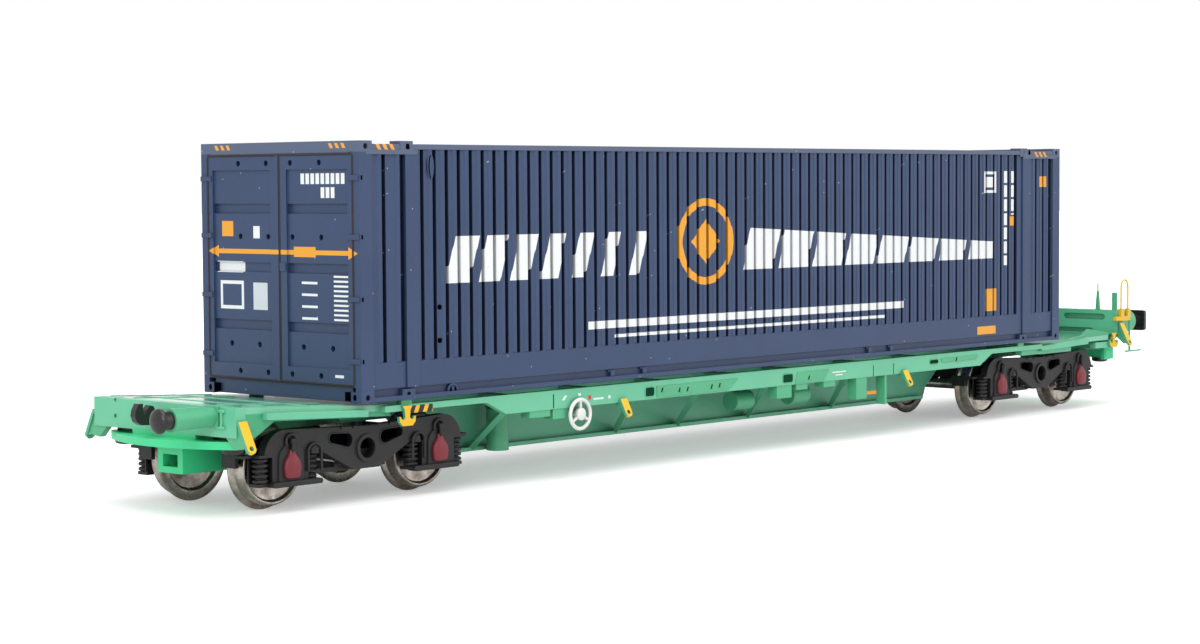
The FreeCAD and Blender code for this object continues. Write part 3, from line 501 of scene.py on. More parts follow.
# rectangles are x0, x1, z0, z1 in millimetres
SIDE_LINES = [(-46.8, 35.6, 22.4, 23.6), (-41.0, 29.8, 20.9, 21.4)]
SIDE_FRAME, SIDE_FRAME_INSIDE = (60.8, 65.0, 42.4, 46.3), (61.3, 64.5, 42.9, 45.8)
SIDE_FRAME_PLATE = (61.8, 64.0, 43.4, 45.3)
SIDE_RULES = [(67.6, 68.4, 29.0, 46.8), (70.0, 70.65, 38.3, 46.5)]
AMBER_PLATES = [(61.3, 65.1, 20.7, 24.8), (58.9, 64.9, 16.5, 17.95), (69.6, 70.8, 36.3, 38.0),
                (79.6, 82.0, 43.4, 45.4)]


def side_prints(tree, place, under):
    """White bars, wedge, lines, rules and framed plate, amber ring, diamond and plates on the
    long sides, and dust."""
    x, y, z = spot(tree, place)
    on_side = abs(y) > SIDE_Y
    leaned = lean(x, z, LIVERY_LEAN, LEAN_LEVEL)
    step = (leaned - BAR_START) / BAR_PITCH
    bars = ((step.fraction() < BAR_SHARE - step * BAR_SHRINK)
            & panel(leaned, z, BAR_START, BAR_END, LIVERY_LOW, BAR_TOP))
    top = WEDGE_TOP - (x + 8.0) * WEDGE_SLOPE
    cell = ((leaned - WEDGE_START) / WEDGE_PITCH).fraction()
    wedge = ((z < top) & (cell < WEDGE_SHARE)
             & panel(leaned, z, WEDGE_START, WEDGE_END, LIVERY_LOW, WEDGE_TOP))
    frame_mark = (panel(x, z, *SIDE_FRAME) - panel(x, z, *SIDE_FRAME_INSIDE)
                  | panel(x, z, *SIDE_FRAME_PLATE))
    rules = striped(z, RULE_PITCH, RULE_SHARE) & panels(x, z, SIDE_RULES)
    white = any_of([bars, wedge, panels(x, z, SIDE_LINES), frame_mark, rules])
    from_ring = ((x - RING_X) ** 2.0 + (z - RING_Z) ** 2.0).then("SQRT")
    ring = (from_ring > RING_IN) & (from_ring < RING_OUT)
    diamond = abs(x - RING_X) + abs(z - RING_Z) < DIAMOND
    amber = any_of([ring, diamond, panels(x, z, AMBER_PLATES)])
    under = inked(under, white & on_side, INK_WHITE)
    under = inked(under, amber & on_side, INK_AMBER)
    return dusted(tree, place, under)


print("ring", 2 * RING_OUT, "mm across, at x", RING_X, "and z", RING_Z)

# %% [markdown]
# ## Prints on the door end and at the top corners
# An amber line with arrow heads crosses both doors, with a small amber plate on it. The other marks
# are blank plates, short ruled lines, and rows of short bars. Three leaning amber dashes mark each
# top corner of the box, on the door header and on both sides. Painted light makes the rails and
# castings along the top a little paler than the box.

# %% Prints on the doors
# rectangles are y0, y1, z0, z1 in millimetres
DOOR_AMBER = [(-7.5, -2.9, 34.4, 35.85), (10.3, 12.8, 37.2, 39.4)]
WIDE_ROWS, FINE_ROWS = (-7.8, -4.5, 25.6, 31.9), (-14.2, -11.2, 25.6, 31.9)
BAR_ROWS = [(-13.7, -4.4, 44.65, 46.15), (-11.6, -8.66, 42.7, 44.2)]
DOOR_PLATES = [(8.2, 13.9, 32.0, 33.6), (4.45, 5.85, 36.95, 38.7), (-13.4, -11.6, 17.7, 18.1)]
DOOR_FRAME, DOOR_FRAME_INSIDE = (8.1, 13.3, 26.7, 30.8), (8.6, 12.8, 27.2, 30.3)
DOOR_GREY_PLATE = (2.9, 6.0, 26.7, 30.6)
ARROW_LINE = (0.0, 14.4, 34.72, 35.38)
ARROW_TIP, ARROW_FOOT, ARROW_Z, ARROW_Y, ARROW_SLOPE = 16.0, 14.1, 35.05, -0.5, 0.46
# pitch of the rows or bars, and the share of it that is white
WIDE_ROW, FINE_ROW, BAR_ROW = (1.67, 0.21), (0.67, 0.42), (1.05, 0.72)


def door_prints(tree, place, under):
    """Amber line with arrow heads and plates, and white plates, frame and rows of bars, on the
    door end. An arrow head is where |z - its middle| < slope x the way left to its tip."""
    x, y, z = spot(tree, place)
    on_door = x < -90.0
    across = abs(y - ARROW_Y)
    head = ((across > ARROW_FOOT) & (across < ARROW_TIP)
            & (abs(z - ARROW_Z) < (ARROW_TIP - across) * ARROW_SLOPE))
    amber = any_of([panel(across, z, *ARROW_LINE), head, panels(y, z, DOOR_AMBER)])
    under = inked(under, amber & on_door, INK_AMBER)
    above = z - WIDE_ROWS[2]
    table = (striped(above, *WIDE_ROW) & panel(y, z, *WIDE_ROWS)
             | striped(above, *FINE_ROW) & panel(y, z, *FINE_ROWS))
    bars = striped(y, *BAR_ROW) & panels(y, z, BAR_ROWS)
    frame_mark = panel(y, z, *DOOR_FRAME) - panel(y, z, *DOOR_FRAME_INSIDE)
    white = any_of([table, bars, frame_mark, panels(y, z, DOOR_PLATES)])
    under = inked(under, white & on_door, INK_WHITE)
    under = inked(under, panel(y, z, *DOOR_GREY_PLATE) & on_door, "#d4d9e2")
    return dusted(tree, place, under)


print("door marks:", len(DOOR_AMBER) + len(DOOR_PLATES) + 2, "plates")

# %% Dashes at the top corners
# start, pitch, low and high of each group of dashes, in millimetres
HEADER_DASHES = [(-14.05, 1.27, 49.6, 50.3), (10.55, 1.27, 49.6, 50.3)]
SIDE_DASHES = [(-90.1, 1.28, 49.35, 50.25), (77.9, 1.45, 49.05, 49.95)]
# Painted light: what lies above TOP_Z is mixed part of the way to a paler navy.
TOP_Z, TOP_PAINTED_LIGHT_SHARE, TOP_PAINTED_LIGHT_COLOUR = 48.6, 0.6, "#626e84"


def dashes(leaned, z, start, pitch, low, high):
    """Three dashes from start on, each half a pitch wide: the fraction of
    (leaned - start) / pitch is under a half."""
    return (striped(leaned - start, pitch, 0.5)
            & panel(leaned, z, start, start + 2.6 * pitch, low, high))


def corner_prints(tree, place, under):
    """Painted light, a paler tone on what lies along the top, and three leaning amber dashes at
    each corner.
    """
    x, y, z = spot(tree, place)
    under = inked(under, (z > TOP_Z) * TOP_PAINTED_LIGHT_SHARE, TOP_PAINTED_LIGHT_COLOUR)
    leaned_y, leaned_x = lean(y, z, 0.6, 49.9), lean(x, z, -0.6, 49.5)
    header = (x < -93.4) & any_of([dashes(leaned_y, z, *group) for group in HEADER_DASHES])
    sides = (abs(y) > 16.5) & any_of([dashes(leaned_x, z, *group) for group in SIDE_DASHES])
    return dusted(tree, place, inked(under, header | sides, INK_AMBER))


print("dashes at", 2 * len(HEADER_DASHES + SIDE_DASHES), "places")

# %% [markdown]
# ## The finishes of the wagon
# The container is sprayed a dark navy with a satin coat; its flats look paler than its grooves,
# partly from the coat's sheen and partly from painted shade in the grooves. The frame is green ABS:
# the decks, headstocks, ledges, spine and sills get paler copies of its green, painted light that
# stands for their sheen, a few parts are brighter or deeper green, the decks are polished, and the
# bogies are black. The small fittings are yellow.
# The gaskets are a brown-black rubber paint, dull enough to swallow the light.

# %% Plastics
# The paler greens for decks, headstocks, ledges, spine and sills are painted light: lighter copies
# of the frame green that stand for the sheen those faces catch.
NAVY, GREEN, SHEEN_LIT_GREEN, SHEEN_LIT_SILL_GREEN = "#2f4367", "#55b284", "#68c19a", "#6cc49c"
# The edge colours stand partly for wear and partly for a painted highlight.
EDGE_GREEN_WEAR_AND_HIGHLIGHT, EDGE_PALE_GREEN_WEAR_AND_HIGHLIGHT = "#9ad9bb", "#a8e2c8"
SPRAY = {"edge_colour_wear_and_highlight": "#5d6b86", "rough": 0.42, "grain": 0.35, "depth": 0.06}
ABS = {"rough": 0.36, "grain": 0.4, "depth": 0.05}
FRAME = {**ABS, "edge_wear_and_highlight": 0.5, "recess_shade": 0.35}
navy = moulded("navy_satin_spray_on_polystyrene", NAVY, **SPRAY, prints=dusted)
navy_corner = moulded("navy_spray_with_corner_dashes_and_painted_top_light", NAVY, **SPRAY, prints=corner_prints)
navy_door = moulded("navy_spray_with_door_prints", NAVY, **SPRAY, prints=door_prints)
green = moulded("green_satin_moulded_abs", GREEN, EDGE_GREEN_WEAR_AND_HIGHLIGHT, **FRAME)
sheen_lit_green = moulded("green_abs_painted_paler_for_sheen", SHEEN_LIT_GREEN, EDGE_PALE_GREEN_WEAR_AND_HIGHLIGHT, **FRAME)
deck_green = moulded("polished_green_abs_deck_painted_paler_for_sheen", SHEEN_LIT_GREEN, EDGE_PALE_GREEN_WEAR_AND_HIGHLIGHT,
                     **{**FRAME, "rough": 0.20}, coat=1.0)
deep_green = moulded("deeper_green_satin_moulded_abs", "#43a678", "#8fd3b2", **FRAME)
bright_green = moulded("bright_green_moulded_abs", "#3fd492", "#8be3ba", rough=0.34, grain=0.4,
                       depth=0.05, recess_shade=0.35)
black = moulded("black_gloss_moulded_nylon", "#201e20", "#5a5456", rough=0.24, grain=0.25,
                depth=0.15)
bogie_black = moulded("black_matt_moulded_polystyrene", "#1d1b1d", "#4b4648", rough=0.52,
                      grain=0.3, depth=0.2, edge_wear_and_highlight=0.5, relief=0.010, recess_shade=0.85)
cover_red = moulded("dark_red_sprayed_cover", "#7c2530", "#a0545c", rough=0.42, grain=0.3,
                    depth=0.12)
yellow = moulded("yellow_moulded_abs", "#f0bd1e", "#f4dc84", rough=0.34, grain=0.25, depth=0.06)
white = moulded("white_sprayed_wheel", "#e9ebe6", "#c9ccc6", rough=0.38, grain=0.25, depth=0.04)
orange = moulded("orange_sprayed_lever", "#e3932f", "#f0bd7c", rough=0.38, grain=0.25,
                 depth=0.06)
gasket = moulded("brown_black_rubber_paint", "#241d20", "#3a3032", rough=0.62, grain=0.2,
                 depth=0.2, relief=0.012)
# The two dark, dull finishes below are painted shade that stands for holes, slots and pockets.
HOLE_SHADE = {"rough": 0.8, "grain": 0.3, "depth": 0.2, "shine": 0.0}  # dull, so it reads as a hole
sill_shade_green = moulded("painted_shade_green_in_sill_slots_pockets_and_joints", "#17432f", "#1f5a40", **HOLE_SHADE)
hole_shade_navy = moulded("painted_shade_in_container_and_bogie_holes", "#04050b", "#070a14", **HOLE_SHADE)
print(len(bpy.data.materials), "materials so far")

# %% [markdown]
# ## Hazard stripes, tipped posts and sill marks
# A panel beside each rope hook carries yellow and black stripes, and the two posts at
# the tall end have white tips. Both are a colour chosen by place: a leaning fraction of
# x for the stripes, and a step in z for the tips. The eyes and rope hooks are yellow on
# the outward face alone, and the sills carry a few blank marks.

# %% Finishes chosen by place
YELLOW, BLACK = "#f2be1c", "#1b1a1b"
STRIPE_START, STRIPE_PITCH, STRIPE_SHARE = -84.1, 1.75, 0.55
TIP_Z, SILL_FACE_Y = 22.6, 16.42
SILL_WHITES = [(-48.9, -48.3, 12.45, 12.85), (-45.5, -43.2, 11.62, 11.9),
               (-42.1, -41.6, 11.6, 12.1), (15.1, 18.9, 12.1, 12.3), (16.0, 18.0, 11.6, 11.8)]
SILL_SLANTED, SILL_RED = (-52.3, -51.7, 12.0, 12.7), (-46.7, -46.0, 11.7, 12.4)


def hazard_prints(tree, place, under):
    """Black bars that lean a little, counted from STRIPE_START."""
    x, y, z = spot(tree, place)
    leaned = lean(x, z, 0.45, 12.8)
    return inked(under, striped(leaned - STRIPE_START, STRIPE_PITCH, STRIPE_SHARE), BLACK)


def faced_prints(tree, place, under):
    """Yellow only on the face that points away from the wagon, where the normal's y has the
    same sign as y itself."""
    y = spot(tree, place)[1]
    normal = add(tree, "ShaderNodeNewGeometry").outputs["Normal"]
    across = add(tree, "ShaderNodeSeparateXYZ", {"Vector": normal}).outputs["Y"]
    return inked(under, Value(tree, across) * y.then("SIGN") > 0.35, YELLOW)


def tip_prints(tree, place, under):
    """White above the height to which the posts are dipped."""
    return inked(under, spot(tree, place)[2] > TIP_Z, "#f2f3f0")


def sill_prints(tree, place, under):
    """Blank white and red spots beside the handbrake wheel, and a blank patch further along, on
    the sills' outer faces."""
    x, y, z = spot(tree, place)
    face = abs(y) > SILL_FACE_Y
    whites = panels(x, z, SILL_WHITES) | panel(lean(x, z, 0.9, 12.3), z, *SILL_SLANTED)
    under = inked(under, whites & face, "#e9f1ec")
    return inked(under, panel(x, z, *SILL_RED) & face, "#c9453f")


hazard = moulded("yellow_and_black_hazard_paint", YELLOW, "#f4dc84", rough=0.4, grain=0.25,
                 prints=hazard_prints)
faced = moulded("green_abs_with_yellow_face", GREEN, EDGE_GREEN_WEAR_AND_HIGHLIGHT, **ABS, prints=faced_prints)
tipped = moulded("green_abs_with_white_tips", GREEN, EDGE_GREEN_WEAR_AND_HIGHLIGHT, **ABS, prints=tip_prints)
green_sill = moulded("green_abs_painted_paler_for_sheen_with_sill_marks", SHEEN_LIT_SILL_GREEN, EDGE_GREEN_WEAR_AND_HIGHLIGHT, **FRAME,
                     prints=sill_prints)
print(len(bpy.data.materials), "materials with the stripes and tips")

# %% [markdown]
# ## Turned steel
# The wheels and axles are steel turned on a lathe and left bare, so the tool has drawn
# fine rings on every face. On a tread the rings run side by side across it, and on a
# wheel's face they are circles. Both are the same thing measured along the profile, so
# each wheel carries an attribute with the length along its profile, and a one-dimensional
# noise on that length draws the rings. The steel has browned a little in handling.

# %% Turned steel for wheels and axles
RINGS_PER_MM, STAIN = 8.0, 2.5  # rings of the tool in a millimetre, size of a stain in mm


def turned_steel(name, colour, brown, along=None):
    """Bare lathe-turned steel: metallic, with the tool's rings as bump and tone, and brown
    stains in patches. along names the attribute that holds the length along the profile."""
    finish, tree, skin, place = new_finish(name)
    if along:
        length = add(tree, "ShaderNodeAttribute", attribute_name=along).outputs["Fac"]
    else:  # an axle lies along y
        length = spot(tree, place)[1]
    rings = add(tree, "ShaderNodeTexNoise", {
        "W": length, "Scale": RINGS_PER_MM, "Detail": 3.0, "Roughness": 0.7},
        noise_dimensions="1D").outputs["Fac"]
    stain = add(tree, "ShaderNodeTexNoise", {
        "Vector": place, "Scale": per_mm(STAIN), "Detail": 4.0, "Roughness": 0.65})
    patch = add(tree, "ShaderNodeMapRange", {
        "Value": stain.outputs["Fac"], "From Min": 0.42, "From Max": 0.66}).outputs["Result"]
    tone = add(tree, "ShaderNodeMix", {"Factor": patch, "A": linear(colour), "B": linear(brown)},
               data_type="RGBA")
    shade = add(tree, "ShaderNodeMapRange", {
        "Value": rings, "From Min": 0.3, "From Max": 0.7, "To Min": 0.82, "To Max": 1.12})
    ringed = add(tree, "ShaderNodeVectorMath", {
        0: tone.outputs["Result"], "Scale": shade.outputs["Result"]}, operation="SCALE")
    tree.links.new(ringed.outputs["Vector"], skin.inputs["Base Color"])
    dull = add(tree, "ShaderNodeMapRange", {"Value": patch, "To Min": 0.26, "To Max": 0.44})
    tree.links.new(dull.outputs["Result"], skin.inputs["Roughness"])
    corner = add(tree, "ShaderNodeBevel", {"Radius": 0.10 * MM}, samples=4)
    bump = add(tree, "ShaderNodeBump", {"Height": rings, "Normal": corner.outputs["Normal"],
                                        "Strength": 0.45, "Distance": 0.010 * MM})
    tree.links.new(bump.outputs["Normal"], skin.inputs["Normal"])
    skin.inputs["Metallic"].default_value = 1.0
    return finish


wheel_steel = turned_steel("lathe_turned_steel_wheel", "#c0b8b0", "#8b7e72", along="lathe")
axle_steel = turned_steel("lathe_turned_steel_axle", "#a3a09c", "#7d746b")
print("steel finishes ready, with", RINGS_PER_MM, "rings in a millimetre")

# %% [markdown]
# ## Finishes for the CAD parts that stay
# Every CAD part that keeps its own mesh gets one of these finishes through its material
# slot. The record's slot names say what each part was made from, so they pick the finish,
# and a few parts with prints or a tone of their own are named one by one.

# %% Give the CAD parts their finishes
by_slot = {"green_plastic": green, "bright_green_plastic": bright_green, "black_plastic": black,
           "yellow_plastic": yellow, "white_plastic": white, "orange_plastic": orange,
           "bogie_black": bogie_black, "cover_red": cover_red, "wheel_steel": axle_steel,
           "axle_steel": axle_steel, "container_navy": navy}
own_finish = (
    (navy_door, ("container_corner_posts", "container_near_door", "container_far_door")),
    (navy_corner, ("container_end_beams", "container_top_rails", "container_castings")),
    (green_sill, ("side_sills",)), (tipped, ("end_posts",)), (deep_green, ("end_side_plates",)),
    (faced, ("lashing_eyes", "rope_hooks")), (deck_green, ("inner_end_deck", "outer_end_deck")),
    (sheen_lit_green, ("inner_headstock", "outer_headstock", "side_ledges", "spine")))
by_node = {node: finish for finish, nodes in own_finish for node in nodes}
slot_of = {part["node"]: part["material_slot"] for part in frame["record"]["subparts"]}
for node, thing in frame["nodes"].items():
    for slot in thing.material_slots:
        slot.material = by_node.get(node, by_slot[slot_of[node]])
print(len(frame["nodes"]), "CAD parts painted,", len(by_node), "of them one by one")

# %% [markdown]
# ## The ribbed walls
# A freight container's steel sides are pressed into upright ribs. On the model each rib
# is a flat face with a narrow deep groove beside it, and half of each face stands a
# little prouder than the other half. Below, the ribs stop on a plain band. So a wall is
# a height that depends on x alone, switched on by a factor that depends on z alone:
# y = y0 + profile(x) * ribbed(z). The grooves sit at a fixed pitch, and the short bays
# beyond the lifting posts have their own. The outer grid is joined to a flat inner grid,
# which makes a closed wall that replaces the plain CAD one.

# %% The ribs' profile
RIB_PITCH, FIRST_GROOVE = 2.427, -81.53
side_grooves = np.concatenate([[-88.9, -85.33], FIRST_GROOVE + RIB_PITCH * np.arange(64),
                               [78.4, 80.85, 83.25]])
groove_width = np.ones(len(side_grooves))
groove_width[[1, -4, -1]] = 1.25, 1.55, 1.55  # the grooves beside a post are wider
# each groove's eight steps: place along the wall, height, and how much painted shade it gets
RIB_STEPS = np.array([(-1.34, 0.0, 0), (-1.16, 0.15, 0), (-0.46, 0.15, 0), (-0.41, 0.08, 0.3),
                      (-0.37, -0.75, 1), (0.36, -0.75, 1), (0.40, -0.08, 0.8), (0.45, 0.0, 0)])
BAND_ROWS = (19.72, 19.86, 19.90)  # heights where the plain band gives way to the ribs
RIBBED = np.array([0.0, 0.0, 1.0, 1.0, 1.0])


def rib_profile(start, grooves, end, width=1.0):
    """Places along the wall, with the height and the shade there: each groove brings its eight
    steps, those at its own edges spread by its width, and the wall's two ends are flat."""
    step, rise, dark = RIB_STEPS.T
    steps = np.where(np.abs(step) < 0.5, step * np.reshape(width, (-1, 1)), step)
    along = np.concatenate([[start], (grooves[:, None] + steps).ravel(), [end]])
    height, shade = (np.concatenate([[0.0], np.tile(eight, len(grooves)), [0.0]])
                     for eight in (rise, dark))
    return along, height, shade


def ribbed_grid(low, high, axis, grooves, width=1.0):
    """For each point of a wall: its place along the axis, its z, height(along) x ribbed(z), and
    the groove's shade, which is nothing on the back."""
    along, height, shade = rib_profile(low[axis], grooves, high[axis], width)
    place, z = np.meshgrid(along, [low[2], *BAND_ROWS, high[2]], indexing="ij")
    groove = np.concatenate([(shade[:, None] * RIBBED).ravel(), np.zeros(z.size)])
    return place, z, height[:, None] * RIBBED, groove


print(len(side_grooves), "grooves in each side")

# %% Ribbed side walls
SIDE_FACE, SIDE_BACK, GROOVE_PAINTED_SHADE = 16.74, 15.65, 0.75


def side_wall(side):
    """The wall on one side: y = side x (face + height x ribbed)."""
    low, high = at("container_near_side_wall")
    x, z, rise, groove = ribbed_grid(low, high, 0, side_grooves, groove_width)
    return (*wall(grid(x, side * (SIDE_FACE + rise), z), grid(x, side * SIDE_BACK, z)), groove)


def side_with_grooves(tree, place, under):
    """The long side's prints, over painted shade: the navy is darkened in the grooves as far as the
    groove attribute says."""
    depth = add(tree, "ShaderNodeAttribute", attribute_name="groove").outputs["Fac"]
    # Painted shade: the navy is mixed towards a near-black navy in the grooves.
    under = inked(under, Value(tree, depth) * GROOVE_PAINTED_SHADE, "#0b0f28")
    return side_prints(tree, place, under)


navy_side = moulded("navy_spray_with_side_livery_and_painted_groove_shade", NAVY, **SPRAY, edge=0.09,
                    prints=side_with_grooves)
for label, side in (("near", -1), ("far", 1)):
    piece(f"container_{label}_ribbed_wall", [side_wall(side)], navy_side, "container",
          replaces=[f"container_{label}_side_wall"], crease=20, note="groove")

# %% [markdown]
# ## The ribbed end wall and the pressed roof
# The blind end is ribbed like the sides, turned a quarter, with shallower ribs. The roof
# of such a box has shallow raised panels pressed across it, so that rain runs off: its
# height is the smaller of two ramps, one across each panel's length and one across its
# width.

# %% Blind end wall
END_FACE, END_SHARE = 0.66, 0.6  # mm from the back to the face, share of the sides' rib height
low, high = at("container_end_wall")
y, z, rise, groove = ribbed_grid(low, high, 1, np.linspace(-13.35, 13.35, 12))
end_wall = wall(grid(low[0] + END_FACE + rise * END_SHARE, y, z), grid(low[0], y, z))
piece("container_ribbed_end_wall", [(*end_wall, groove)], navy_side, "container",
      replaces=["container_end_wall"], crease=20, note="groove")

# %% Pressed roof
ROOF_PANELS, PRESSED, ROOF_MARGIN = 21, 0.22, 6.0
low, high = at("container_roof")
middles = np.linspace(low[0] + ROOF_MARGIN, high[0] - ROOF_MARGIN, ROOF_PANELS)
across_panel = np.array([-3.45, -3.15, 3.15, 3.45])
x = np.concatenate([[low[0]], (middles[:, None] + across_panel).ravel(), [high[0]]])
ramp_x = np.concatenate([[0.0], np.tile([0.0, 1.0, 1.0, 0.0], ROOF_PANELS), [0.0]])
y = np.array([low[1], -13.6, -13.3, 13.3, 13.6, high[1]])
ramp_y = np.array([0.0, 0.0, 1.0, 1.0, 0.0, 0.0])
xx, yy = np.meshgrid(x, y, indexing="ij")
top = high[2] - PRESSED + PRESSED * np.minimum(ramp_x[:, None], ramp_y)
piece("container_pressed_roof", [wall(grid(xx, yy, top), grid(xx, yy, low[2]))], navy,
      "container", replaces=["container_roof"], crease=20)

# %% [markdown]
# ## Trim on the container
# A rubber gasket seals both doors, a latch block joins them, and the bottom rail has small
# gussets and an arched lug. Two vent holes and an oval vent sit among the ribs of each
# side. The gasket is a round cord laid round both leaves, so it is a wire along a rounded
# rectangle, with a flat strip down the middle. The lug is half a wire ring.

# %% Door gaskets and the overlapping edge of a leaf
DOOR_X = -93.6
door_low, door_high = (corner[2] for corner in at("container_near_door"))
seal = standing(rounded(-15.55, 15.55, door_low + 0.22, door_high - 0.22, 0.35), DOOR_X + 0.05, "x")
strip = rounded(-0.40, -0.03, door_low + 0.2, door_high - 0.2, 0.05)
piece("container_door_gaskets", [wire(seal, 0.19, ALONG_X, ring=True),
                                 plate(strip, DOOR_X - 0.03, DOOR_X + 0.5, "x")],
      gasket, "container", crease=40)
overlap = rounded(-0.02, 0.46, door_low + 0.1, door_high - 0.1, 0.1)
piece("container_door_overlap", [plate(overlap, DOOR_X - 0.12, DOOR_X + 0.5, "x")], navy_door,
      "container", round_edges=0.06)

# %% Lugs, gussets, latch and rims of the oval vents
RAIL_GUSSETS = (-41.4, -33.9, 25.5, 31.9)
lug = arc(-75.65, 15.0, 0.9, 0.92, 0, 180, 15)
oval = arc(-79.9, 47.0, 0.55, 1.75)
latch_bolt = [(0, -93.84), (0.2, -93.84), (0.24, -93.8), (0.24, -93.7), (0, -93.7)]
trim = mirrored([
    wire(standing(lug, -16.62), 0.2, ALONG_Y),
    plate(rounded(-75.9, -75.4, 15.0, 15.75, 0.2), -16.75, -16.3),
    blocks([(x, -16.55, 15.42) for x in RAIL_GUSSETS], [(0.42, 0.3, 0.42)]),
    blocks([(x, -16.45, 15.85) for x in RAIL_GUSSETS], [(0.8, 0.2, 0.14)])])
trim += [blocks([(DOOR_X - 0.02, -1.0, 32.95)], [(0.2, 0.62, 0.58)]),
         turned(latch_bolt, (0, -1.0, 33.1), "x", 16)]
trim += mirrored([wire(standing(oval, -16.9), 0.10, ALONG_Y, ring=True),
                  plate(arc(-79.72, 47.0, 0.36, 1.6), -16.93, -16.6)])
piece("container_rail_trim", trim, navy, "container", round_edges=0.05)

# %% Painted shade in the holes: vents, lug, door hinges and castings
cast_low, cast_high = (corner[0] for corner in at("container_castings"))
vent = [(0, -16.96), (0.30, -16.96), (0.36, -16.9), (0.36, -16.6), (0, -16.6)]
eye = arc(0, 0, 0.34, 0.45)
hole_shades = [turned(vent, (-78.3, 0, z), "y", 20) for z in (22.35, 27.1)]
hole_shades += [plate(oval, -16.905, -16.5),
          plate(arc(-75.65, 14.95, 0.8, 0.85, 0, 180, 15), -16.66, -16.5),
          blocks([(-93.2, -16.98, z) for z in (45.5, 37.3, 28.7, 20.1)], [(0.16, 0.04, 0.3)])]
hole_shades += [plate(eye + [x, 49.78], -17.01, -16.9) for x in (-84.35, 75.85)]
hole_shades += [plate(eye + [-15.6, 15.1], cast_low - 0.01, cast_low + 0.1, "x"),
          plate(eye + [-15.6, 15.1], cast_high - 0.1, cast_high + 0.01, "x"),
          blocks([(cast_low + 0.15, -14.1, 15.2)], [(0.17, 0.5, 0.6)])]
piece("container_hole_shade_discs", mirrored(hole_shades), hole_shade_navy, "container")

# %% Bands over the bays beyond the lifting posts
bands = [blocks([((x0 + x1) / 2, -16.8, 49.05)], [((x1 - x0) / 2, 0.26, 0.36)])
         for x0, x1 in ((-92.4, -82.45), (73.65, 85.2))]
piece("container_header_bands", mirrored(bands), navy_corner, "container",
      round_edges=0.06)

# %% [markdown]
# ## Wheels turned on a lathe
# Each wheel is a tread with a flange, a dished web and a hub. Drawn as half a section,
# it is a closed loop of (radius, across) points, and turning the loop round the axle
# makes the wheel. The length along that loop is kept at each point for the steel's rings.

# %% Wheels
WHEEL = np.array([
    (0.92, 7.30), (1.75, 7.30), (1.90, 7.45), (2.05, 7.70), (4.25, 7.70), (4.45, 7.40),
    (4.60, 7.27), (5.60, 7.25), (5.86, 7.30), (6.02, 7.42), (6.044, 7.56), (6.00, 7.70),
    (5.84, 7.86), (5.60, 8.00), (5.46, 8.16), (5.41, 8.40), (5.36, 9.76), (5.28, 9.93),
    (5.12, 10.02), (4.92, 10.02), (4.80, 9.94), (4.74, 9.70), (4.60, 9.52), (4.30, 9.44),
    (2.60, 9.30), (2.25, 9.36), (2.10, 9.52), (2.05, 9.86), (1.92, 9.97), (1.15, 9.97),
    (0.98, 9.85)])
WHEEL_STEPS = 72
along_profile = np.concatenate([[0], np.cumsum(np.hypot(*np.diff(WHEEL, axis=0).T))])


def axle_middle(bogie, number):
    """The middle of an axle, in millimetres."""
    return sum(at(f"bogie_{bogie}_wheelset_{number}_axle")) / 2


def wheel(x, z, side):
    """WHEEL turned round the axle at (x, z), on one side, with the length along the profile at
    every point."""
    shape = turned(WHEEL * [1, side], (x, 0, z), "y", WHEEL_STEPS, ring=True)
    return (*shape, np.tile(along_profile, WHEEL_STEPS))


for bogie in "ab":
    for number in (1, 2):
        x, _, z = axle_middle(bogie, number)
        wheelset = f"bogie_{bogie}_wheelset_{number}"
        piece(f"{wheelset}_turned_wheels", [wheel(x, z, side) for side in (-1, 1)], wheel_steel,
              wheelset, replaces=[f"{wheelset}_wheels"], crease=28, note="lathe")

# %% [markdown]
# ## Axlebox covers
# The red covers have the shape of a squat bottle: a foot, a belly, and shoulders that
# draw in to a short neck. Their plan is a superellipse, |u|^3 + |v|^3 = 1, which is
# rounder than a box and squarer than a disc, scaled at each height by the bottle's half
# width and half depth. Its back is pressed flat against the frame.

# %% Bottle-shaped covers
HEIGHTS = np.array([4.76, 4.80, 5.00, 5.50, 6.20, 6.95, 7.50, 7.90, 8.25, 8.55, 8.70, 8.72])
HALF_WIDTH = np.array([0.00, 1.20, 1.34, 1.42, 1.50, 1.40, 1.08, 0.72, 0.52, 0.46, 0.38, 0.00])
BULGE = np.array([0.00, 0.55, 0.68, 0.74, 0.79, 0.74, 0.62, 0.50, 0.42, 0.40, 0.34, 0.00])
COVER_Y, COVER_ROWS, COVER_COLS = 13.86, 45, 32


def bottle(x, side):
    """A cover: its plan point at angle a is (sign cos |cos a|^(2/3), sign sin |sin a|^(2/3))
    times the half sizes at that height, with the back at a fifth of its depth."""
    z = np.interp(np.linspace(0, 1, COVER_ROWS), np.linspace(0, 1, len(HEIGHTS)), HEIGHTS)
    half, deep = (np.interp(z, HEIGHTS, sizes)[:, None] for sizes in (HALF_WIDTH, BULGE))
    a = np.linspace(0, 2 * np.pi, COVER_COLS, endpoint=False)
    u, v = (np.sign(w) * np.abs(w) ** (2 / 3) for w in (np.cos(a), np.sin(a)))
    v = np.where(v < 0, v * 0.2, v)
    points = grid(x + half * u, side * (COVER_Y + deep * v), z[:, None])
    return points.reshape(-1, 3), grid_faces(COVER_ROWS, COVER_COLS, False, True)


for bogie in "ab":
    covers = [bottle(axle_middle(bogie, n)[0], side) for n in (1, 2) for side in (-1, 1)]
    piece(f"bogie_{bogie}_bottle_covers", covers, cover_red, f"bogie_{bogie}",
          replaces=[f"bogie_{bogie}_axlebox_covers"], crease=60)

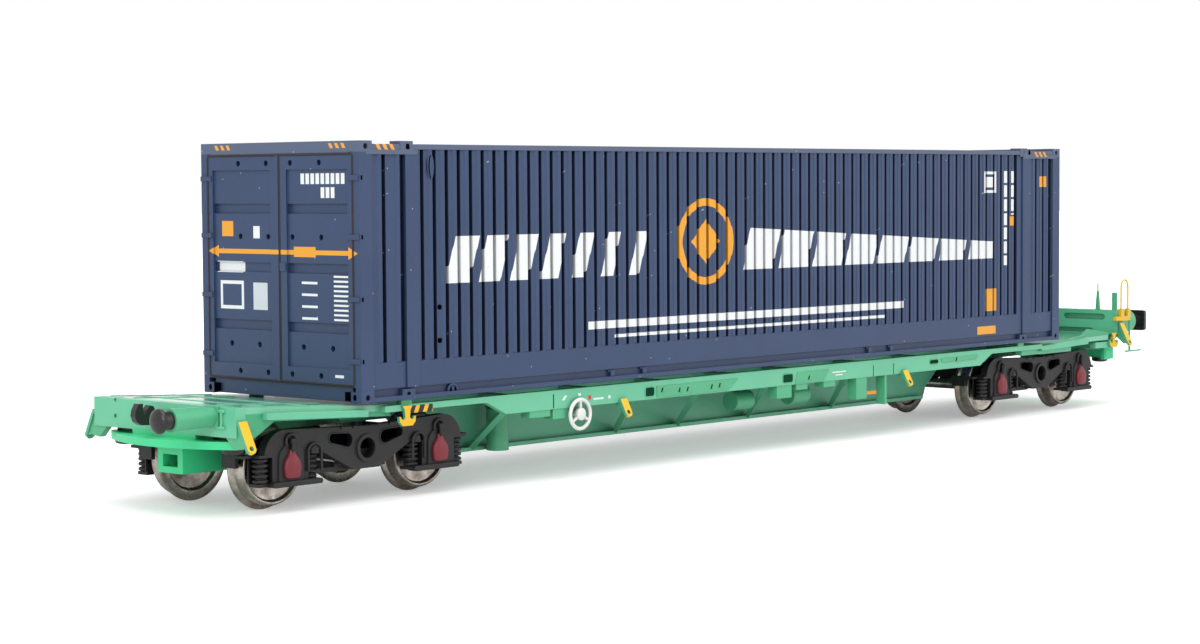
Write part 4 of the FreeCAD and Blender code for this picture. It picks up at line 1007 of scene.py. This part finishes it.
# %% [markdown]
# ## Fittings on the bogie frames
# A hanger loop with a stud stands over each cover, and a tray runs along below it.
# Beside each cover an arch on two legs stands over a hollow, which a dark plate of painted shade
# fills, and a dark sheet of painted shade stands behind the frame's windows. Raised rims run round
# the frame's windows, and bolt heads mark the pedestals. Loops, arches and rims are wires along an
# outline. The bolt heads are tiny hexagons turned in six steps, so that each costs a few faces.

# %% Shapes of the bogie fittings
FRAME_Y = 13.6  # the outer face of a bogie's side frame
STUD = [(0, 8.35), (0.3, 8.4), (0.34, 8.5), (0.34, 9.5), (0.46, 9.6), (0.46, 10.1),
        (0.3, 10.3), (0, 10.32)]
BOLT_R, BOLT_OUT = 0.27, 0.16
ARCH_IN, ARCH_Z = 4.15, 8.0  # the arch's place from the axle towards the middle
# a window's outline beside the middle, narrow towards the axlebox
window = np.concatenate([arc(6.3, 9.55, 0.75, 0.75, -90, 90, 9),
                         arc(3.6, 9.1, 1.05, 1.05, 90, 270, 9)])


def bolt(x, z):
    """A six-sided bolt head on a frame's face: a short profile turned in six steps."""
    profile = [(0, BOLT_OUT), (BOLT_R * 0.8, BOLT_OUT), (BOLT_R, BOLT_OUT * 0.6),
               (BOLT_R, -0.05), (0, -0.05)]
    return turned(profile, (x, FRAME_Y, z), "y", 6)


def arch(x, z, rx, rz, foot):
    """Half an ellipse over (x, z) with a leg down to foot at each end, as (x, z) pairs."""
    return np.concatenate([[(x + rx, foot)], arc(x, z, rx, rz, 0, 180, 13), [(x - rx, foot)]])


def at_axle(x, inward):
    """The fittings at one axle. inward is 1 or -1, the way to the bogie's middle."""
    tray_ends = sorted((x - 3.6 * inward, x + 5.25 * inward))
    beside = x + ARCH_IN * inward
    return [wire(standing(arch(x, 10.0, 0.85, 0.72, 9.2), FRAME_Y + 0.18), 0.27, ALONG_Y),
            turned(STUD, (x, FRAME_Y + 0.62, 0), "z", 14),
            plate(rounded(*tray_ends, 3.66, 4.40, 0.28), FRAME_Y - 0.9, FRAME_Y + 0.72),
            wire(standing(arch(beside, ARCH_Z, 1.2, 1.2, 5.4), FRAME_Y + 0.3), 0.2, ALONG_Y),
            *[bolt(x + dx, z) for dx, z in ((-1.7, 5.3), (1.7, 5.3), (-1.75, 8.3), (1.75, 8.3))]]


print("a window rim has", len(window), "points")

# %% Bogie fittings
for bogie in "ab":
    axles = [axle_middle(bogie, number)[0] for number in (1, 2)]
    centre = sum(axles) / 2
    bits, shade_backs = [], []
    for x, inward in zip(axles, (1, -1)):
        bits += at_axle(x, inward)
        # Painted shade: a dark plate behind each arch, and below a dark sheet behind the windows.
        shade_backs.append(plate(arc(x + ARCH_IN * inward, ARCH_Z, 1.1, 1.1, 0, 180, 13),
                           FRAME_Y - 0.3, FRAME_Y + 0.06))
    rim = arc(centre, 7.75, 1.55, 1.55, steps=28)
    bits.append(wire(standing(rim, FRAME_Y), 0.14, ALONG_Y, ring=True))
    bits += [wire(standing(window * [side, 1] + [centre, 0], FRAME_Y), 0.13, ALONG_Y, ring=True)
             for side in (-1, 1)]
    bits += [bolt(centre + dx, 10.85) for dx in (-4.6, -2.3, 2.3, 4.6)]
    shade_backs.append(blocks([(centre, 12.4, 9.0)], [(7.5, 0.15, 1.4)]))
    piece(f"bogie_{bogie}_painted_shade_backs", mirrored(shade_backs), hole_shade_navy, f"bogie_{bogie}")
    piece(f"bogie_{bogie}_frame_fittings", mirrored(bits), bogie_black, f"bogie_{bogie}",
          crease=40, round_edges=0.05)

# %% [markdown]
# ## Plates on the long sills
# The deep sills carry raised plates with slanting slots, and beside each plate a round-cornered
# pocket, drawn as a rim round a dark plate of painted shade. A plate is an outline with a slanting
# end given a thickness. A slot is a leaning tooth with a dark strip of painted shadow beside it,
# because cutting so shallow a hole in a frame part is not worth a second mesh of the whole sill.
# Thin dark joint lines share the strips' dark green.

# %% Sill plates, pockets, slots and joint lines
SILL_Y = float(at("side_sills")[1][1])
PLATE_Y = SILL_Y + 0.13
PLATES = ([(-30.8, 11.02), (-13.1, 11.02), (-10.6, 12.76), (-30.8, 12.76)],
          [(4.6, 10.98), (12.4, 10.98), (14.0, 12.78), (5.3, 12.78)],
          [(47.8, 12.05), (58.6, 12.05), (59.4, 12.8), (47.4, 12.8)])
POCKETS = ((-33.5, -31.3, 11.25, 12.75), (1.3, 4.1, 11.2, 12.7), (43.9, 46.7, 11.9, 12.75))
SLOTS = ((-29.1, 12.1), (-24.9, 11.85), (-22.9, 11.85), (-16.9, 11.85), (-14.9, 11.95),
         (8.8, 11.75), (52.7, 12.4))
TOOTH = np.array([(-0.42, -0.35), (0.12, -0.35), (0.42, 0.35), (-0.12, 0.35)])
TOOTH_SHADOW_STRIP = np.array([(-0.78, -0.35), (-0.46, -0.35), (-0.16, 0.35), (-0.48, 0.35)])
plates = [plate(outline, -PLATE_Y, -SILL_Y + 0.2) for outline in PLATES]
# Painted shade in the pockets and beside the teeth, and the dark joint lines.
dark = []
for pocket in POCKETS:
    edge = rounded(*pocket, 0.45)
    plates.append(wire(standing(edge, -SILL_Y - 0.03), 0.09, ALONG_Y, ring=True))
    dark.append(plate(edge, -SILL_Y - 0.03, -SILL_Y + 0.2))
plates += [plate(TOOTH + slot, -PLATE_Y - 0.12, -PLATE_Y + 0.1) for slot in SLOTS]
dark += [plate(TOOTH_SHADOW_STRIP + slot, -PLATE_Y - 0.02, -PLATE_Y + 0.1) for slot in SLOTS]
dark.append(blocks([(-54.4, -SILL_Y, 12.0), (26.9, -SILL_Y, 11.8), (32.9, -SILL_Y, 11.8)],
                   [(0.09, 0.03, 1.05), (0.07, 0.03, 0.95), (0.07, 0.03, 0.95)]))
piece("sill_raised_plates", mirrored(plates), green, "wagon", round_edges=0.05)
piece("sill_slot_and_pocket_shade_and_joints", mirrored(dark), sill_shade_green, "wagon")

# %% [markdown]
# ## Small fittings of the wagon
# Hazard panels stand beside the rope hooks, and a round hub sits on each handbrake wheel.
# Round black discs hang under the ends of the valances. The one buffer at the low end
# has a polished domed head and a flange behind it. These are plates and turned parts.

# %% Hazard panels, handbrake hubs and discs
hazards = [plate([(-83.9, 12.35), (-79.6, 12.35), (-79.6, 13.4), (-83.9, 13.4)],
                 -SILL_Y - 0.10, -SILL_Y + 0.1),
           plate([(107.3, 13.2), (109.6, 13.2), (109.6, 14.15), (107.3, 14.15)], -15.52, -15.35)]
piece("hazard_panels", mirrored(hazards), hazard, "wagon", round_edges=0.04)

low, high = at("handbrake_wheels")
x, _, z = (low + high) / 2
hub = [(0, 0.12), (0.8, 0.12), (0.95, 0.02), (0.95, -0.5), (0, -0.5)]
piece("handbrake_hubs", mirrored([turned(hub, (x, high[1], z), "y", 24)]), white, "wagon")

disc = [(0, 8.45), (1.0, 8.5), (1.45, 8.65), (1.6, 8.9), (1.6, 9.35), (0, 9.35)]
piece("valance_discs", mirrored([turned(disc, (x, -11.6, 0), "z", 32) for x in (-112.0, 110.4)]),
      black, "wagon", crease=50)

# %% The fitted buffer
low, high = at("inner_buffer_head")
_, y, z = (low + high) / 2
head = [(0, 0), (0.5, 0.03), (1.0, 0.13), (1.35, 0.28), (1.58, 0.46), (1.69, 0.66), (1.69, 0.86),
        (1.58, 1.02), (1.35, 1.10), (1.27, 1.18), (1.25, 1.3), (1.25, 2.5), (0, 2.5)]
piece("inner_buffer_domed_head", [turned(head, (low[0], y, z), "x", 56)], black, "wagon",
      replaces=["inner_buffer_head"], crease=50)
flange = [(-13.25, 12.2), (-11.9, 12.2), (-11.9, 12.55), (-12.4, 12.55), (-12.4, 14.4),
          (-11.9, 14.4), (-11.9, 14.75), (-13.25, 14.75), (-13.25, 14.4), (-12.8, 14.4),
          (-12.8, 12.55), (-13.25, 12.55)]
piece("inner_buffer_flange", [plate(flange, -114.95, -114.5, "x")], sheen_lit_green, "wagon",
      round_edges=0.05)

# %% [markdown]
# ## Beams and walls under the ends
# The bogie at the low end has a cross beam with two arms. Short walls close the gaps
# under the outer deck, a pair of cheeks stands on the outer valances, and two dark blocks
# sit under the low end. All are plain blocks with rounded edges, as on the moulding.

# %% Blocks under the ends
END_BLOCKS = (  # piece, mirrored or not, finish, body, slot, rounding, centres and half sizes
    ("bogie_a_end_transom", False, bogie_black, "bogie_a", "bogie_black", 0.1,
     [(-71.35, 0, 8.1), (-70.3, -5.5, 7.35), (-70.3, 5.5, 7.35)],
     [(0.35, 6.9, 0.85), (1.15, 0.4, 0.25), (1.15, 0.4, 0.25)]),
    ("outer_end_apron", True, sheen_lit_green, "wagon", "green_plastic", 0.05,
     [(105.25, 14.6, 12.2), (109.6, 6.7, 11.9), (88.0, 14.8, 12.2), (79.1, 14.9, 12.25)],
     [(2.55, 0.7, 0.6), (0.4, 6.7, 0.87), (5.6, 0.5, 0.6), (3.6, 0.7, 0.55)]),
    ("outer_valance_cheeks", True, bright_green, "wagon", "bright_green_plastic", 0.05,
     [(110.7, 13.1, 10.85)], [(1.7, 0.42, 1.8)]),
    ("inner_end_block", True, black, "wagon", "black_plastic", 0.05,
     [(-112.0, 10.5, 10.6)], [(0.5, 2.5, 0.42)]))
for name, both, finish, body, slot, rounding, centres, halves in END_BLOCKS:
    parts = [blocks(centres, halves)]
    piece(name, mirrored(parts) if both else parts, finish, body, round_edges=rounding)

# %% [markdown]
# ## Ribs on the inner deck
# Pressed ribs run along and across the inner deck. The deck slopes down to the bogie, so
# its ribs follow the deck's own height: z = z0 + (z1 - z0)(x - x0)/(x1 - x0).

# %% Deck ribs
DECK_FOOT, RIB_WIDTH, RIB_RISE = 13.65, 0.28, 0.12
deck_low, deck_high = at("inner_end_deck")


def deck_rib(x0, x1, y0, y1):
    """A thin raised rib, as a wall between two small grids that follow the slope."""
    x, y = np.meshgrid([x0, x1], [y0, y1], indexing="ij")
    z = np.interp(x, [deck_low[0], deck_high[0]], [deck_high[2], DECK_FOOT])
    return wall(grid(x, y, z + RIB_RISE), grid(x, y, z - 0.2))


ribs = [deck_rib(x, x + RIB_WIDTH, -15.0, 15.0) for x in (-108.6, -101.2)]
ribs += [deck_rib(-112.6, -94.5, y, y + RIB_WIDTH) for y in (-14.4, -9.2, 8.9, 14.1)]
piece("inner_deck_ribs", ribs, deck_green, "wagon", round_edges=0.05)

# %% [markdown]
# ## Floor and light
# The model stands on a plain white sweep in soft light. The floor's own colour is white,
# and for camera rays a little is added, more of it away from the model, so that it
# reaches the white of the background while it still shows the shadow. The sky does the
# same: what the camera and the reflections see is white at strength 1, and what lights
# the model is weaker. A broad lamp above, one to the front left and a weak one to the
# front right bring the light on the model to the level at which a colour renders as it
# is written.

# %% Floor
FLOOR_HALF, FLOOR_LINES = 3.0, 13  # metres, grid lines each way
GLOW_NEAR, GLOW_FAR = 0.13, 0.34  # metres over which the added white grows
floor_paint, tree, skin, place = new_finish("white_paper_sweep")
skin.inputs["Roughness"].default_value = 0.7
skin.inputs["Specular IOR Level"].default_value = 0.1
fibre = add(tree, "ShaderNodeTexNoise", {"Vector": place, "Scale": per_mm(1.5), "Detail": 2.0})
paper = add(tree, "ShaderNodeMix", {
    "Factor": fibre.outputs["Fac"], "A": linear("#f2f2f2"), "B": linear("#f6f6f6")},
    data_type="RGBA")
tree.links.new(paper.outputs["Result"], skin.inputs["Base Color"])
ray = add(tree, "ShaderNodeLightPath")
away = add(tree, "ShaderNodeVectorMath", {0: place}, operation="LENGTH").outputs["Value"]
lift = add(tree, "ShaderNodeMapRange", {
    "Value": away, "From Min": GLOW_NEAR, "From Max": GLOW_FAR, "To Min": 0.34, "To Max": 1.0})
strength = Value(tree, ray.outputs["Is Camera Ray"]) * lift.outputs["Result"]
glow = add(tree, "ShaderNodeEmission", {"Color": (1, 1, 1, 1), "Strength": strength})
both = add(tree, "ShaderNodeAddShader", {0: skin.outputs["BSDF"], 1: glow.outputs["Emission"]})
tree.links.new(both.outputs["Shader"], tree.nodes["Material Output"].inputs["Surface"])

lines = np.linspace(-FLOOR_HALF, FLOOR_HALF, FLOOR_LINES)
floor_points = grid(*np.meshgrid(lines, lines, indexing="ij"), 0.0).reshape(-1, 3)
floor_mesh = bpy.data.meshes.new("floor")
floor_mesh.from_pydata(floor_points.tolist(), [], grid_faces(FLOOR_LINES, FLOOR_LINES).tolist())
floor_mesh.materials.append(floor_paint)
floor = bpy.data.objects.new("floor", floor_mesh)
bpy.context.scene.collection.objects.link(floor)
print("floor", 2 * FLOOR_HALF, "m square")

# %% Sky
SKY_LIGHT = 0.55
sky = bpy.data.worlds.new("white_sky")
bpy.context.scene.world = sky
sky.use_nodes = True
tree = sky.node_tree
seen = add(tree, "ShaderNodeLightPath")
direct = any_of([Value(tree, seen.outputs[f"Is {kind} Ray"])
                 for kind in ("Camera", "Glossy", "Transmission")])
strength = direct * (1 - SKY_LIGHT) + SKY_LIGHT
tree.links.new(strength.socket, tree.nodes["Background"].inputs["Strength"])
tree.nodes["Background"].inputs["Color"].default_value = (1, 1, 1, 1)
print("the sky lights the model at", SKY_LIGHT)

# %% Lamps
LAMP_TARGET = Vector((0, 0, 0.02))  # the middle of the model, in metres


def lamp(name, place, watts, size):
    """A square area lamp that faces the middle of the model."""
    light = bpy.data.lights.new(name, "AREA")
    light.energy, light.size = watts, size
    holder = bpy.data.objects.new(name, light)
    holder.location = place
    holder.rotation_euler = (LAMP_TARGET - Vector(place)).to_track_quat("-Z", "Y").to_euler()
    bpy.context.scene.collection.objects.link(holder)
    print(f"{name}: {watts} W")


lamp("lamp above", (-0.10, -0.25, 1.1), 7.5, 1.0)
lamp("lamp front left", (-1.0, -0.55, 0.55), 5.3, 0.7)
lamp("lamp front right", (0.75, -0.75, 0.45), 1.0, 0.6)
bpy.context.scene.view_settings.view_transform = "Standard"

# %% [markdown]
# ## Camera
# The camera stands low at the door end, on the near side. Its direction is an azimuth, an
# elevation and a small roll, which make three unit vectors: back, right and up.

# %% Camera
CAMERA_PLACE = Vector((-0.32843, -0.27287, 0.04430))  # metres
LENS, SENSOR = 75.4845, 36  # millimetres
azimuth, elevation, roll = (math.radians(v) for v in (-47.98, 3.12, -0.35))
back = Vector((math.sin(azimuth) * math.cos(elevation),
               -math.cos(azimuth) * math.cos(elevation), math.sin(elevation)))
level = (-back).cross(Vector((0, 0, 1))).normalized()
upright = level.cross(-back)
right = math.cos(roll) * level + math.sin(roll) * upright
up = math.cos(roll) * upright - math.sin(roll) * level
lens = bpy.data.cameras.new("camera")
lens.lens, lens.sensor_width, lens.clip_start, lens.clip_end = LENS, SENSOR, 0.01, 20
camera = bpy.data.objects.new("camera", lens)
turn = Matrix((right, up, back)).transposed().to_4x4()
turn.translation = CAMERA_PLACE
camera.matrix_world = turn
bpy.context.scene.collection.objects.link(camera)
bpy.context.scene.camera = camera
print("camera", round(math.degrees(azimuth), 2), "degrees round,",
      round(math.degrees(elevation), 2), "up")

# %% [markdown]
# The last cell counts the new pieces and their faces.

# %% Sizes and finish
print(len(made), "new pieces,", sum(made.values()), "faces")
